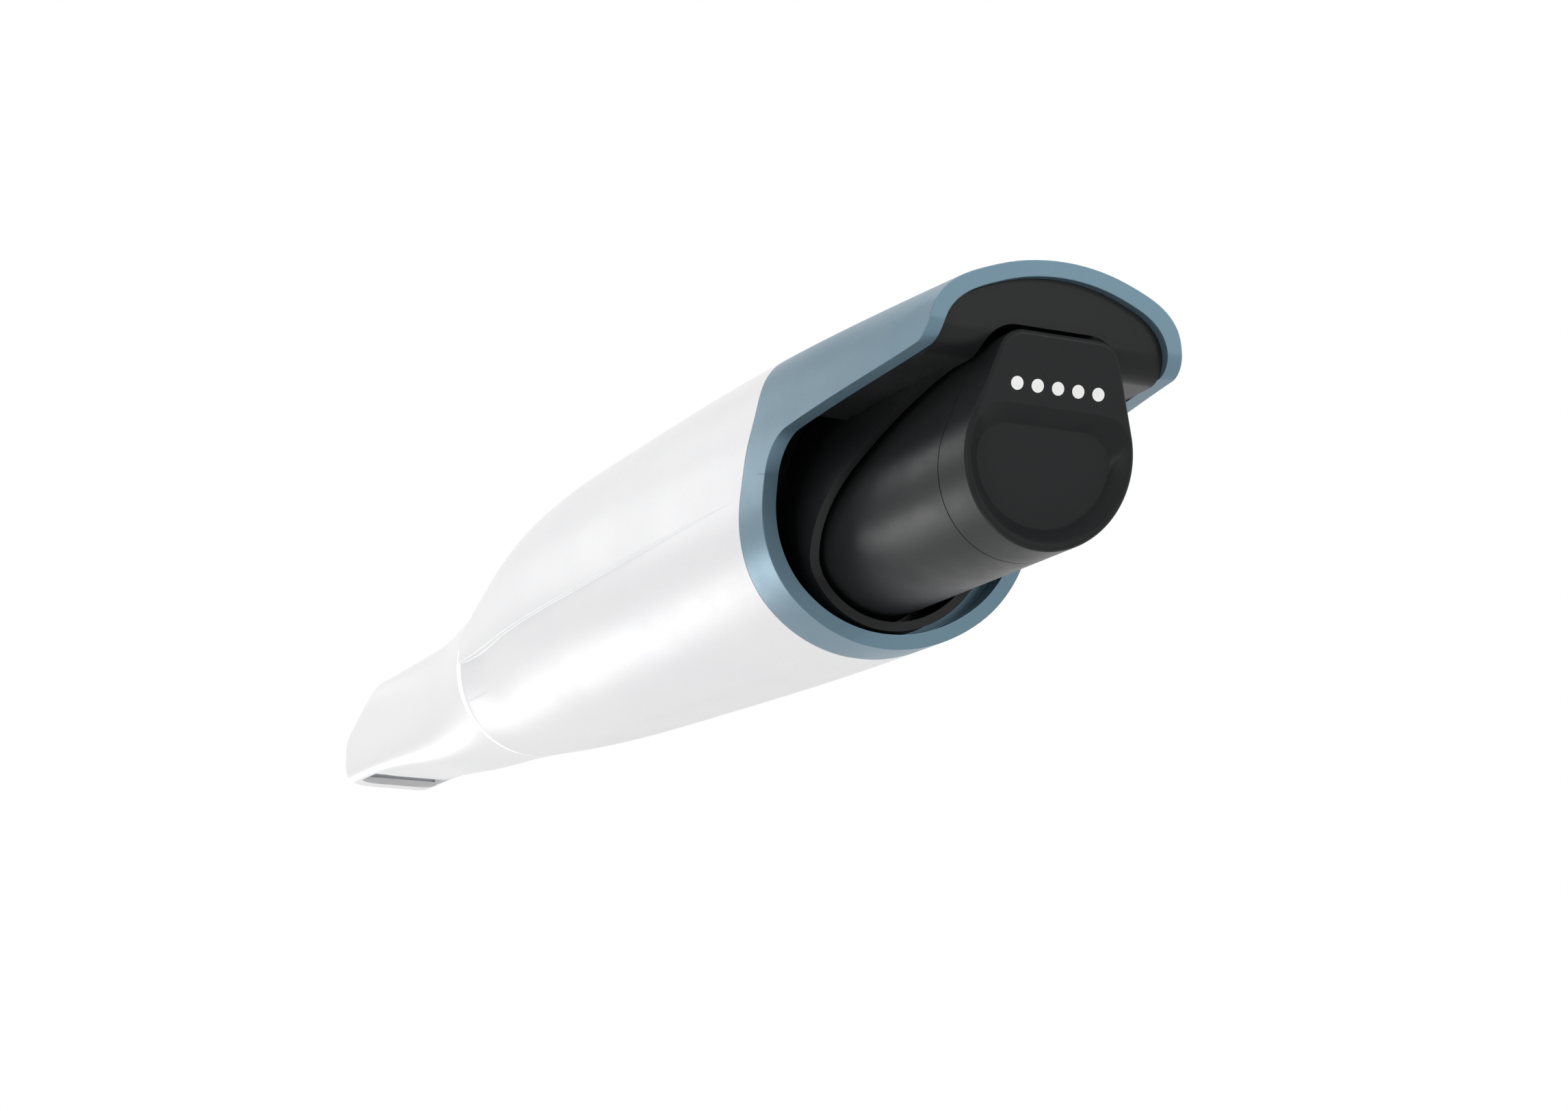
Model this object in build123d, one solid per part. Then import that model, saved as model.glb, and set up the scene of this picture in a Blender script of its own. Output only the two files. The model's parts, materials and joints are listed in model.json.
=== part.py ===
from build123d import *
import math
import os

# Millimetres. The handle's axis is X: +X runs to the scanning tip, +Y to the left, +Z up.
# While the pieces are built, the origin is the middle of the battery's end face.

# Slant of the rim, the collar's edge, the neck and the battery's end face, from square to the axis
slant = 12.24

# The battery's length sets how far forward everything in front of it stands
battery_length = 78.0

# Handle skin: places of its sections, counted from the rim, the battery's inner end or the neck
rim_at = 1.3
rear_lead = 9.0
hood_lead = 20.0
collar_front_at = 49.0
waist_lead = 32.0
shoulder_lead = 77.0
nose_lead = 90.0
neck_lead = 100.3

# Handle skin: half-widths, crowns and keels of its sections
rear_half_width = 19.0
rim_half_width = 19.1
hood_half_width = 19.4
collar_half_width = 19.7
waist_half_width = 19.3
shoulder_half_width = 17.4
nose_half_width = 16.0
rear_crown = 20.2
rim_crown = 20.9
hood_crown = 22.2
collar_crown = 23.5
waist_crown = 25.2
shoulder_crown = 24.9
nose_crown = 22.6
front_crown = 17.6
rear_keel = 18.1
rim_keel = 18.2
hood_keel = 18.6
collar_keel = 18.9
waist_keel = 17.7
shoulder_keel = 15.8
nose_keel = 14.8
neck_radius = 15.2
neck_height = 1.4

# Rim outline: a flat crown, two shoulders, slightly bulging sides and a round keel
crown_radius = 30.7
crown_inset = 2.3
side_height = 1.5
bilge_inset = 0.6
bilge_drop = 7.0
shoulder_radius = 5.0
bilge_radius = 16.0
outline_steps = 720
section_points = 36

# How far each section has turned from the rim's outline to a circle, and its share of the ledge
waist_roundness = 0.46
shoulder_roundness = 0.9
nose_roundness = 0.98
waist_share = 0.5
shoulder_share = 0.8
neck_share = 0.4

# Shells: wall, ledge under the raised back, parting line, seams, and the flat that the scanner lies on
shell_wall = 2.0
ledge_height = 0.5
ledge_depth = 0.9
parting_height = -5.5
seam_width = 0.16
seam_depth = 0.3
rest_lead = 22.0
rest_pitch = 1.44
rest_height = 17.2
screw_post_length = 12.0

# Collar: a long hood above, a short ring below, and the swept edge between them
lower_rim_at = 41.2
hood_edge_height = 9.6
hood_edge_drop = 0.075
hood_corner_radius = 3.5
sweep_radius = 6.5
collar_wall = 2.0
collar_root = 4.0
spigot_length = 6.0
spigot_wall = 1.5
fit_gap = 0.05

# Battery: keel circle, two top corners, end cap and the thumb recess in its end face
battery_keel_radius = 11.5
battery_keel_height = -2.3
battery_corner_radius = 3.3
battery_corner_spread = 5.1
battery_top = 11.9
battery_wall = 1.4
battery_seam_depth = 0.12
end_cap_length = 7.2
end_edge_radius = 0.6
recess_top = 3.1
recess_rim = 0.6
recess_depth = 1.9
recess_slope = 1.75
recess_top_slope = 2.28
recess_corner_radius = 4.0
contact_count = 5
contact_pitch = 2.78
contact_radius = 0.88
contact_height = 5.5
contact_depth = 1.2
cell_radius = 9.2
cell_end_gap = 4.4
cell_edge = 0.6
battery_board_thickness = 1.0
battery_board_margin = 1.5
battery_board_setback = 6.0

# Battery bay: the insert under the hood, and the sleeve round the battery with its swept lip
insert_setback = 1.3
insert_underside = 8.9
insert_corner_radius = 4.0
insert_front_at = 37.0
bay_clearance = 0.3
mouth_clearance = 1.1
sleeve_wall = 1.2
lip_at = 41.3
lip_rear_at = -2.2
lip_rear_height = 9.4
lip_middle_at = 27.3
lip_middle_height = 2.8
lip_low_height = -9.1
lip_radius = 6.0
bulkhead_at = 53.0
bulkhead_thickness = 2.0
bay_depth = 1.5
bay_end_wall = 2.5
terminal_margin = 1.2
terminal_half_height = 2.8

# Scan button on the crown
button_lead = 34.0
button_length = 15.0
button_width = 9.0
button_rise = 0.5
button_travel = 0.5
button_gap = 0.3
button_flange = 1.0
button_cap_depth = 3.4
light_ring_width = 1.1
button_stem_radius = 1.6

# Nose that carries the tip
nose_radius = 10.5
nose_seat_length = 12.0
tunnel_half_width = 6.4
tunnel_wall = 1.0
tunnel_edge_radius = 1.5
tunnel_root = 3.0
nose_setback = 28.0
nose_glass_thickness = 1.5
nose_flange = 2.5
nose_bore = 8.4
nose_glass_step = 0.4
seal_radius = 0.6
seal_setback = 6.0
seal_squeeze = 0.01
ring_thickness = 0.6

# Tip sleeve: its reach past the neck, its sections, and the slope of its end
tip_reach = 85.7
tip_wall = 1.4
throat_lead = 13.7
swoop_lead = 29.7
slim_lead = 47.7
slope_length = 20.0
tip_throat_half_width = 12.6
tip_swoop_half_width = 10.2
tip_slim_half_width = 9.1
tip_half_width = 8.9
tip_throat_top = 14.9
tip_swoop_top = 12.6
tip_slim_top = 10.9
tip_top = 9.8
tip_throat_bottom = 12.9
tip_swoop_bottom = 12.0
tip_slim_bottom = 10.2
tip_bottom = 8.6
throat_squareness = 2.1
swoop_squareness = 2.5
slim_squareness = 3.8
tip_squareness = 6.0
tip_fit = 0.06
tip_slope_end = 0.2
tip_end_radius = 3.0
tip_chin_radius = 4.0
tip_seat_relief = 0.5
window_setback = 17.7
window_length = 11.6
window_width = 14.6
mirror_thickness = 1.0
mirror_foot_gap = 0.8

# Chassis: a channel behind the nose, with cross ribs and a round front bulkhead
chassis_floor = 2.0
chassis_wall = 1.2
chassis_half_width = 9.6
chassis_drop = 9.0
chassis_side_height = 4.0
chassis_length = 78.0
chassis_edge = 1.6
chassis_sill_top = 1.8
rib_thickness = 2.0
rib_rise = 8.0
rib_root = 0.5
pedestal_half_width = 4.0
front_bulkhead_radius = 11.8
front_bulkhead_thickness = 3.0
barrel_radius = 8.0
barrel_wall = 1.2
objective_thickness = 3.4
objective_curve = 24.0
lens_fit = 0.03

# Focus carriage on its two rods
carriage_length = 8.0
carriage_travel = 2.0
carriage_end_gap = 4.0
carriage_side_gap = 0.5
carriage_rise = 6.6
carriage_edge_radius = 1.0
magnet_gap = 0.4
focus_lens_radius = 5.2
focus_lens_thickness = 3.6
focus_lens_curve = 16.0
focus_lens_ledge = 0.8
focus_lens_setback = 0.5
light_path_margin = 0.6
rod_radius = 0.9
rod_fit = 0.03
rod_spread = 6.2
rod_drop = 5.6
magnet_thickness = 1.2
magnet_half_width = 4.0

# Beam splitter, sensor and light source
splitter_size = 12.0
splitter_edge = 0.4
splitter_gap = 4.0
sensor_size = 9.0
sensor_thickness = 1.6
sensor_gap = 3.8
sensor_plate_lead = 15.0
sensor_board_thickness = 1.2
sensor_board_half_width = 7.6
light_holder_radius = 5.6
light_holder_bore = 4.4
light_board_margin = 0.8
collimator_thickness = 2.4
collimator_curve = 9.0
collimator_lift = 0.8

# Boards and screws
terminal_board_thickness = 1.2
main_board_thickness = 1.2
main_board_half_width = 11.0
main_board_rise = 12.2
main_board_rear_gap = 3.0
main_board_front_gap = 6.0
main_board_corner_radius = 2.0
processor_size = 13.0
processor_thickness = 1.6
processor_lead = 12.0
processor_edge = 0.4
radio_length = 18.0
radio_width = 13.0
radio_height = 2.4
radio_edge_radius = 0.6
switch_size = 6.2
switch_height = 3.6
plunger_height = 1.0
screw_radius = 1.0
screw_length = 4.0
screw_spread = 6.0
screw_head_radius = 1.9
screw_head_height = 1.3
screw_head_edge = 0.6
screw_slot_half_width = 0.25
rear_screw_lead = 8.0
front_screw_setback = 9.0
front_standoff_setback = 12.0
post_radius = 2.8
standoff_radius = 1.6
standoff_inset = 0.9

# Cutting bodies: how far they run past what they cut, and a size greater than the whole scanner
overlap = 1.0
beyond = 400.0

# Sizes that follow from those above
lean = math.tan(math.radians(slant))
stand = math.cos(math.radians(slant))
ANGLES = [math.tau * step / section_points for step in range(section_points)]
waist_at = battery_length + waist_lead
shoulder_at = battery_length + shoulder_lead
nose_at = battery_length + nose_lead
neck_at = battery_length + neck_lead
button_at = battery_length + button_lead
tip_at = neck_at + ring_thickness
tip_throat_at = neck_at + throat_lead
tip_swoop_at = neck_at + swoop_lead
tip_slim_at = neck_at + slim_lead
tip_end = neck_at + tip_reach
tip_slope_start = tip_end - slope_length
window_at = tip_end - window_setback
nose_reach = tip_end - nose_setback
tunnel_at = neck_at + nose_seat_length
cell_length = battery_length - battery_wall - end_cap_length - cell_end_gap
optical_height = neck_height * stand
bay_end = battery_length + bay_depth
chassis_start = bay_end + bay_end_wall
chassis_end = chassis_start + chassis_length
bulkhead_end = chassis_end + front_bulkhead_thickness
floor_top = optical_height - chassis_drop
floor_bottom = floor_top - chassis_floor
side_top = optical_height + chassis_side_height
channel = chassis_half_width - chassis_wall
standoff_spread = chassis_half_width - standoff_inset
board_bottom = optical_height + main_board_rise
board_top = board_bottom + main_board_thickness
switch_top = board_top + switch_height + plunger_height
ring_base = waist_crown * stand - button_cap_depth
button_hole = button_gap + light_ring_width
cell_height = battery_keel_height - (battery_keel_radius - battery_wall - cell_radius)
seal_at = tunnel_at - seal_setback
sensor_plate_at = chassis_start + sensor_plate_lead
sensor_board_at = sensor_plate_at + rib_thickness
sensor_at = sensor_board_at + sensor_board_thickness
splitter_at = sensor_at + sensor_thickness + sensor_gap
splitter_middle = splitter_at + splitter_size / 2
rear_rib_at = splitter_at + splitter_size + splitter_gap
carriage_at = rear_rib_at + rib_thickness + carriage_end_gap + carriage_travel
front_rib_at = carriage_at + carriage_length + carriage_end_gap
focus_lens_at = carriage_at + carriage_length - focus_lens_thickness - focus_lens_setback
rod_height = optical_height - rod_drop
chassis_screws_at = (chassis_start + rear_screw_lead, chassis_end - front_screw_setback)
standoffs_at = (chassis_start + rear_screw_lead, chassis_end - front_standoff_setback)


def slanted(at, setback=0.0):
    """Plane that leans back over the handle and crosses its axis at this place."""
    tilt = math.radians(slant)
    plane = Plane(origin=(at, 0, 0), x_dir=(0, 1, 0), z_dir=(math.cos(tilt), 0, math.sin(tilt)))
    return plane.offset(setback)


def block(x_range, y_range, z_range):
    """Box between the given limits."""
    lows = (x_range[0], y_range[0], z_range[0])
    spans = [high - low for low, high in (x_range, y_range, z_range)]
    return Pos(*lows) * Box(*spans, align=(Align.MIN, Align.MIN, Align.MIN))


def rod(radius, x_range, y=0.0, z=0.0):
    """Cylinder along the handle."""
    length = x_range[1] - x_range[0]
    start = Plane(origin=(x_range[0], y, z), x_dir=(0, 1, 0), z_dir=(1, 0, 0))
    return start * Cylinder(radius, length, align=(Align.CENTER, Align.CENTER, Align.MIN))


def post(radius, z_range, x, y=0.0):
    """Upright cylinder."""
    height = z_range[1] - z_range[0]
    return Pos(x, y, z_range[0]) * Cylinder(radius, height, align=(Align.CENTER, Align.CENTER, Align.MIN))


def slab(start, end):
    """Everything between two slanted planes."""
    return extrude(slanted(start) * Rectangle(beyond, beyond), (end - start) * stand)


# Handle skin
def rim_radii():
    """Distance of the rim's outline from the axis, at each of the angles."""
    corner = rim_half_width - crown_inset
    corner_height = rim_crown - crown_radius + math.sqrt(crown_radius**2 - corner**2)
    bilge = rim_half_width - bilge_inset
    crown = ThreePointArc((-corner, corner_height), (0, rim_crown), (corner, corner_height))
    right = ThreePointArc((corner, corner_height), (rim_half_width, side_height), (bilge, -bilge_drop))
    keel = ThreePointArc((bilge, -bilge_drop), (0, -rim_keel), (-bilge, -bilge_drop))
    left = ThreePointArc((-bilge, -bilge_drop), (-rim_half_width, side_height), (-corner, corner_height))
    outline = Sketch() + make_face([crown, right, keel, left])
    outline = fillet(outline.vertices().sort_by(Axis.Y)[2:], shoulder_radius)
    outline = fillet(outline.vertices().sort_by(Axis.Y)[:2], bilge_radius)
    wire = outline.face().outer_wire()
    places = [wire.position_at(step / outline_steps) for step in range(outline_steps)]
    found = [(math.atan2(place.X, place.Y) % math.tau, math.hypot(place.X, place.Y)) for place in places]
    return [min(found, key=lambda pair: abs(pair[0] - angle))[1] for angle in ANGLES]


RIM = [(radius * math.sin(angle), radius * math.cos(angle)) for radius, angle in zip(rim_radii(), ANGLES)]


def smooth_face(points):
    """Face inside a smooth closed curve, with the points evenly spaced along its parameter."""
    steps = [step / len(points) for step in range(len(points) + 1)]
    curve = Edge.make_spline([Vector(*point) for point in points], periodic=True, parameters=steps)
    return make_face(curve)


def skin_section(at, half_width, crown, keel, roundness, inset=0.0):
    """Closed section on a slanted plane, between the rim's shape and a circle."""
    points = []
    for angle, (side, height) in zip(ANGLES, RIM):
        rim_rise = (height + rim_keel) / (rim_crown + rim_keel)
        side = (1 - roundness) * side / rim_half_width + roundness * math.sin(angle)
        rise = (1 - roundness) * rim_rise + roundness * (math.cos(angle) + 1) / 2
        points.append(((half_width - inset) * side, (crown + keel - 2 * inset) * rise - keel + inset))
    return slanted(at) * smooth_face(points)


def skin(inset=0.0, ledge=0.0):
    """The handle's whole form, from behind the rim to past the neck, shrunk by the inset."""
    stations = [
        (rim_at - rear_lead, rear_half_width, rear_crown, rear_keel, 0.0, 0.0),
        (rim_at + hood_lead, hood_half_width, hood_crown, hood_keel, 0.0, 0.0),
        (collar_front_at, collar_half_width, collar_crown, collar_keel, 0.0, 0.0),
        (waist_at, waist_half_width, waist_crown, waist_keel, waist_roundness, waist_share),
        (shoulder_at, shoulder_half_width, shoulder_crown, shoulder_keel, shoulder_roundness, shoulder_share),
        (nose_at, nose_half_width, nose_crown, nose_keel, nose_roundness, 1.0),
        (neck_at, neck_radius, front_crown, neck_radius - neck_height, 1.0, neck_share),
    ]
    sections = []
    for at, half_width, crown, keel, roundness, share in stations:
        width = half_width - (ledge_depth - ledge) * share
        sections.append(skin_section(at, width, crown, keel, roundness, inset))
    return loft(sections)


OUTER = skin()
RAISED = skin(ledge=ledge_depth)
INNER = skin(shell_wall)
SKIN_UNDER_SEAMS = skin(seam_depth)


def layer(low, high):
    """Everything between two level planes."""
    return block((-beyond, beyond), (-beyond, beyond), (low, high))


def side_bar(edges, radii, half_width=beyond):
    """Bar across the handle, from a closed outline in its middle plane with these corners rounded."""
    plane = Plane(origin=(0, 0, 0), x_dir=(1, 0, 0), z_dir=(0, -1, 0))
    outline = Sketch() + make_face(edges)
    for (x, z), radius in radii:
        corner = outline.vertices().sort_by_distance((x, z, 0))[0]
        outline = fillet(corner, radius)
    return extrude(plane * outline, half_width, both=True)


def swept_cut():
    """What the collar's swept edge takes away: all below the hood and behind the lower rim."""
    rear = (rim_at - lean * hood_edge_height, hood_edge_height)
    inner_height = hood_edge_height - hood_edge_drop * (lower_rim_at - rear[0])
    inner = (lower_rim_at - lean * inner_height, inner_height)
    bottom = (lower_rim_at + lean * beyond, -beyond)
    top = (rim_at - lean * beyond, beyond)
    outline = Polyline(rear, inner, bottom, (-beyond, -beyond), (-beyond, beyond), top, close=True)
    return side_bar(outline, [(rear, hood_corner_radius), (inner, sweep_radius)])


def collar():
    """Metal collar: hood and lower ring in one tube, with a spigot that enters the shells."""
    spigot_end = collar_front_at + spigot_length
    root = collar_front_at - collar_root
    tube = OUTER & slab(rim_at - rear_lead + overlap, collar_front_at)
    tube += skin(shell_wall + fit_gap) & slab(collar_front_at - overlap, spigot_end)
    tube -= skin(shell_wall + spigot_wall) & slab(root, spigot_end + overlap)
    tube -= skin(collar_wall) & slab(rim_at - rear_lead, root)
    tube -= battery_bar((0, battery_length), mouth_clearance + sleeve_wall + fit_gap)
    return tube - swept_cut()


# Battery and its bay
def battery_outline(offset=0.0):
    """Battery's cross-section, grown by the offset."""
    keel = Pos(0, battery_keel_height) * Circle(battery_keel_radius + offset)
    height = battery_top - battery_corner_radius
    corners = [Pos(side * battery_corner_spread, height) * Circle(battery_corner_radius + offset)
               for side in (-1, 1)]
    return make_hull((keel + corners[0] + corners[1]).edges())


def battery_bar(x_range, offset=0.0):
    """Straight bar of the battery's cross-section."""
    plane = Plane(origin=(x_range[0], 0, 0), x_dir=(0, 1, 0), z_dir=(1, 0, 0))
    return extrude(plane * battery_outline(offset), x_range[1] - x_range[0])


def recess_face(shrink, top, setback):
    """One level of the thumb recess: a round field with a flat top edge."""
    field = Pos(0, battery_keel_height) * Circle(battery_keel_radius - recess_rim - shrink)
    field &= Pos(0, top - beyond / 2) * Rectangle(beyond, beyond)
    field = fillet(field.vertices(), recess_corner_radius)
    return slanted(0.0, setback) * field


def contact_places():
    """Sideways place of each contact in the row."""
    middle = (contact_count - 1) / 2
    return [(index - middle) * contact_pitch for index in range(contact_count)]


def contact_row(radius, start, depth):
    """Row of round contacts, from a slanted plane forward."""
    row = [Pos(side, contact_height) * Circle(radius) for side in contact_places()]
    return extrude(slanted(0.0, start) * Sketch(children=row), depth)


def battery_end_cap():
    """Cap that closes the battery's outer end, with the recess and the contacts' holes."""
    cap = battery_bar((-battery_length, battery_length)) & slab(0.0, end_cap_length)
    rear = cap.faces().sort_by(Axis.X)[0]
    cap = fillet(rear.edges(), end_edge_radius)
    low = recess_face(recess_slope, recess_top - recess_top_slope, recess_depth)
    cap -= loft([recess_face(0.0, recess_top, 0.0), low])
    return cap - contact_row(contact_radius, 0.0, contact_depth)


def battery_case():
    """Long sleeve of the battery, closed at its inner end, open to the cap, with a fine groove at the cap."""
    case = battery_bar((0, battery_length)) & slab(end_cap_length, beyond)
    groove = battery_bar((0, battery_length)) - battery_bar((0, battery_length), -battery_seam_depth)
    case -= groove & slab(end_cap_length, end_cap_length + seam_width)
    return case - battery_bar((-battery_wall, battery_length - battery_wall), -battery_wall)


def battery_cell():
    """Round lithium cell."""
    end = battery_length - battery_wall
    cell = rod(cell_radius, (end - cell_length, end), z=cell_height)
    return chamfer(cell.edges().filter_by(GeomType.CIRCLE), cell_edge)


def battery_board():
    """Protection board on the cell's back."""
    base = cell_height + cell_radius
    room = battery_corner_spread + battery_board_margin
    end = battery_length - battery_wall
    reach = (end - cell_length + battery_board_setback, end)
    return block(reach, (-room, room), (base, base + battery_board_thickness))


def insert_hood():
    """Insert that fills the collar's hood: a slanted front, a soft corner and a level underside."""
    front = rim_at + insert_setback
    corner = (front - lean * insert_underside, insert_underside)
    outline = Polyline(corner, (beyond, insert_underside), (beyond, beyond), (front - lean * beyond, beyond),
                       close=True)
    above = side_bar(outline, [(corner, insert_corner_radius)])
    return skin(collar_wall + fit_gap) & slab(front, insert_front_at) & above


def bay_sleeve():
    """Sleeve round the battery, whose lip sweeps down from under the hood to the lower rim."""
    rear = (lip_rear_at, lip_rear_height)
    low = (lip_at - lean * lip_low_height, lip_low_height)
    lip = ThreePointArc(rear, (lip_middle_at, lip_middle_height), low)
    bottom = (lip_at + lean * beyond, -beyond)
    rest = Polyline(low, bottom, (beyond, -beyond), (beyond, beyond), (lip_rear_at, beyond), rear)
    behind_lip = side_bar([lip, *rest.edges()], [(low, lip_radius)])
    return battery_bar((0, chassis_start), mouth_clearance + sleeve_wall) & behind_lip


def bay_housing():
    """Insert under the hood and the sleeve round the battery, moulded in one."""
    flange = skin(shell_wall + spigot_wall + fit_gap) & slab(bulkhead_at, bulkhead_at + bulkhead_thickness)
    housing = insert_hood() + bay_sleeve() + flange
    housing -= battery_bar((-battery_length, bulkhead_at), mouth_clearance)
    housing -= battery_bar((bulkhead_at - overlap, bay_end), bay_clearance)
    return housing - pin_row(contact_radius + fit_gap, (bay_end - overlap, chassis_start + overlap))


def pin_row(radius, reach):
    """Row of pins along the handle."""
    return Compound(children=[rod(radius, reach, side, contact_height) for side in contact_places()])


def bay_pins():
    """Spring pins that meet the battery, soldered in their board."""
    return pin_row(contact_radius, (battery_length, chassis_start + terminal_board_thickness))


def terminal_board():
    """Small board on the bay's end wall, with the pins through it."""
    reach = (chassis_start, chassis_start + terminal_board_thickness)
    room = contact_count * contact_pitch / 2 + terminal_margin
    heights = (contact_height - terminal_half_height, contact_height + terminal_half_height)
    holes = pin_row(contact_radius + fit_gap, (bay_end, reach[1] + overlap))
    return block(reach, (-room, room), heights) - holes


def battery_contacts():
    """Round charging contacts, flush with the end face."""
    return contact_row(contact_radius - fit_gap, 0.0, contact_depth)


# Shells
def button_prism(growth, z_range):
    """Upright prism of the button's oval outline."""
    oval = SlotOverall(button_length + 2 * growth, button_width + 2 * growth)
    return extrude(Plane(origin=(button_at, 0, z_range[0])) * oval, z_range[1] - z_range[0])


def upper_shell():
    """White upper shell with its raised back, open to the button, with fine seams behind and below."""
    reach = slab(collar_front_at, neck_at)
    back = RAISED & reach & layer(ledge_height, beyond)
    flanks = OUTER & reach & layer(parting_height, ledge_height)
    shell = back + flanks - INNER
    shell -= slab(collar_front_at, collar_front_at + seam_width) - SKIN_UNDER_SEAMS
    shell -= layer(parting_height, parting_height + seam_width) - SKIN_UNDER_SEAMS
    return shell - button_prism(button_hole + fit_gap, (0, beyond))


def resting_flat():
    """What the long narrow flat takes off the keel, so that the scanner lies still on a table."""
    at = battery_length + rest_lead
    return Pos(at, 0, -rest_height) * Rot(0, -rest_pitch, 0) * Box(
        beyond, beyond, beyond, align=(Align.CENTER, Align.CENTER, Align.MAX))


def lower_shell():
    """White lower shell with the posts that carry the chassis."""
    shell = (OUTER & slab(collar_front_at, neck_at) & layer(-beyond, parting_height)) - INNER
    shell -= slab(collar_front_at, collar_front_at + seam_width) - SKIN_UNDER_SEAMS
    shell -= resting_flat()
    for x in chassis_screws_at:
        for side in (-1, 1):
            y = side * screw_spread
            shell += post(post_radius, (floor_bottom - screw_post_length, floor_bottom), x, y) & OUTER
            shell -= post(screw_radius, (floor_bottom - screw_length, floor_bottom + overlap), x, y)
    return shell


# Scan button
def scan_button():
    """Oval button that follows the crown, with a flange below and a stem over the switch."""
    cap = button_prism(0.0, (ring_base - button_flange, beyond)) & skin(-button_rise, ledge_depth)
    flange = button_prism(button_gap + light_ring_width / 2, (ring_base - button_flange, ring_base))
    reach = (switch_top + button_travel + fit_gap, ring_base - button_flange)
    return cap + flange + post(button_stem_radius, reach, button_at)


def button_light_ring():
    """Clear ring round the button, flush with the shell."""
    ring = button_prism(button_hole, (ring_base, beyond)) & RAISED
    return ring - button_prism(button_gap, (0, beyond))


def button_switch():
    """Push switch under the button's stem."""
    half = switch_size / 2
    body = block((button_at - half, button_at + half), (-half, half), (board_top, board_top + switch_height))
    return body + post(button_stem_radius, (board_top + switch_height, switch_top), button_at)


# Neck and nose
def neck_ring():
    """Thin white ring between the shells and the tip."""
    disc = extrude(slanted(neck_at) * Pos(0, neck_height) * Circle(neck_radius), ring_thickness * stand)
    return disc - rod(nose_radius + fit_gap, (chassis_end, tunnel_at), z=optical_height)


def square_bar(half, reach):
    """Square bar on the optical axis."""
    return block(reach, (-half, half), (optical_height - half, optical_height + half))


def nose_tube():
    """Metal nose: flange, round seat for the tip with a seal groove, and a square tunnel."""
    flange_end = bulkhead_end + nose_flange
    nose = rod(front_bulkhead_radius, (bulkhead_end, flange_end), z=optical_height)
    nose += rod(nose_radius, (bulkhead_end, tunnel_at), z=optical_height)
    tunnel = square_bar(tunnel_half_width, (tunnel_at - tunnel_root, nose_reach))
    nose += fillet(tunnel.edges().filter_by(Axis.X), tunnel_edge_radius)
    nose -= rod(nose_bore, (bulkhead_end - overlap, tunnel_at - tunnel_root + overlap), z=optical_height)
    bore = tunnel_half_width - tunnel_wall
    nose -= square_bar(bore, (tunnel_at - tunnel_root - overlap, nose_reach + overlap))
    nose -= square_bar(bore + nose_glass_step, (nose_reach - nose_glass_thickness, nose_reach + overlap))
    reach = (seal_at - seal_radius - fit_gap, seal_at + seal_radius + fit_gap)
    floor = nose_radius + tip_fit - 2 * (seal_radius + seal_squeeze)
    return nose - (rod(nose_radius + overlap, reach, z=optical_height) - rod(floor, reach, z=optical_height))


def nose_window():
    """Glass that closes the nose."""
    half = tunnel_half_width - tunnel_wall + nose_glass_step - fit_gap
    return square_bar(half, (nose_reach - nose_glass_thickness, nose_reach))


def tip_seal():
    """Soft ring in the nose's groove that grips the tip."""
    centre = nose_radius + tip_fit - seal_radius - seal_squeeze
    plane = Plane(origin=(seal_at, 0, optical_height), x_dir=(0, 1, 0), z_dir=(1, 0, 0))
    return plane * Torus(centre, seal_radius)


# Tip
def tip_section(at, half_width, top, bottom, squareness):
    """Upright section of the tip, from an oval to a rounded square."""
    middle = (top - bottom) / 2
    half = (top + bottom) / 2
    points = []
    for angle in ANGLES:
        side, rise = math.sin(angle), math.cos(angle)
        reach = math.copysign(abs(side) ** (2 / squareness), side)
        lift = math.copysign(abs(rise) ** (2 / squareness), rise)
        points.append((half_width * reach, middle + half * lift))
    return Plane(origin=(at, 0, 0), x_dir=(0, 1, 0), z_dir=(1, 0, 0)) * smooth_face(points)


def tip_form():
    """Tip's outer form: round at the neck, a hollow sweep down to a slim square end."""
    ring = [(neck_radius * math.sin(angle), neck_height + neck_radius * math.cos(angle)) for angle in ANGLES]
    square_end = (tip_half_width, tip_top, tip_bottom, tip_squareness)
    sections = [
        slanted(tip_at) * smooth_face(ring),
        tip_section(tip_throat_at, tip_throat_half_width, tip_throat_top, tip_throat_bottom,
                    throat_squareness),
        tip_section(tip_swoop_at, tip_swoop_half_width, tip_swoop_top, tip_swoop_bottom, swoop_squareness),
        tip_section(tip_slim_at, tip_slim_half_width, tip_slim_top, tip_slim_bottom, slim_squareness),
        tip_section(tip_slope_start, *square_end),
        tip_section(tip_end + overlap, *square_end),
    ]
    slope = (tip_top - tip_slope_end) / slope_length
    back = neck_at - nose_seat_length
    end = (tip_end, tip_slope_end)
    chin = (tip_end, -tip_bottom - fit_gap)
    top = (back, tip_top + slope * (tip_slope_start - back))
    heel = (tip_slope_start, -tip_bottom - overlap)
    outline = Polyline(top, end, chin, heel, (back, -beyond), close=True)
    return loft(sections) & side_bar(outline, [(end, tip_end_radius), (chin, tip_chin_radius)])


def mirror_line():
    """Lower and upper ends of the mirror's face, at half a right angle to the axis."""
    low = -tip_bottom + tip_wall
    high = tip_top - tip_wall
    foot = window_at + window_length + mirror_foot_gap
    return (foot, low), (foot - (high - low), high)


def tip_hollow():
    """Tunnel of the tip, up to the slope that the mirror's back lies on."""
    foot, head = mirror_line()
    shift = mirror_thickness * math.sqrt(2)
    start = tunnel_at - overlap
    slope = [(foot[0] + shift, foot[1]), (head[0] + shift, head[1])]
    outline = Polyline((start, foot[1]), *slope, (start, head[1]), close=True)
    return side_bar(outline, [], window_width / 2 + fit_gap)


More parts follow.
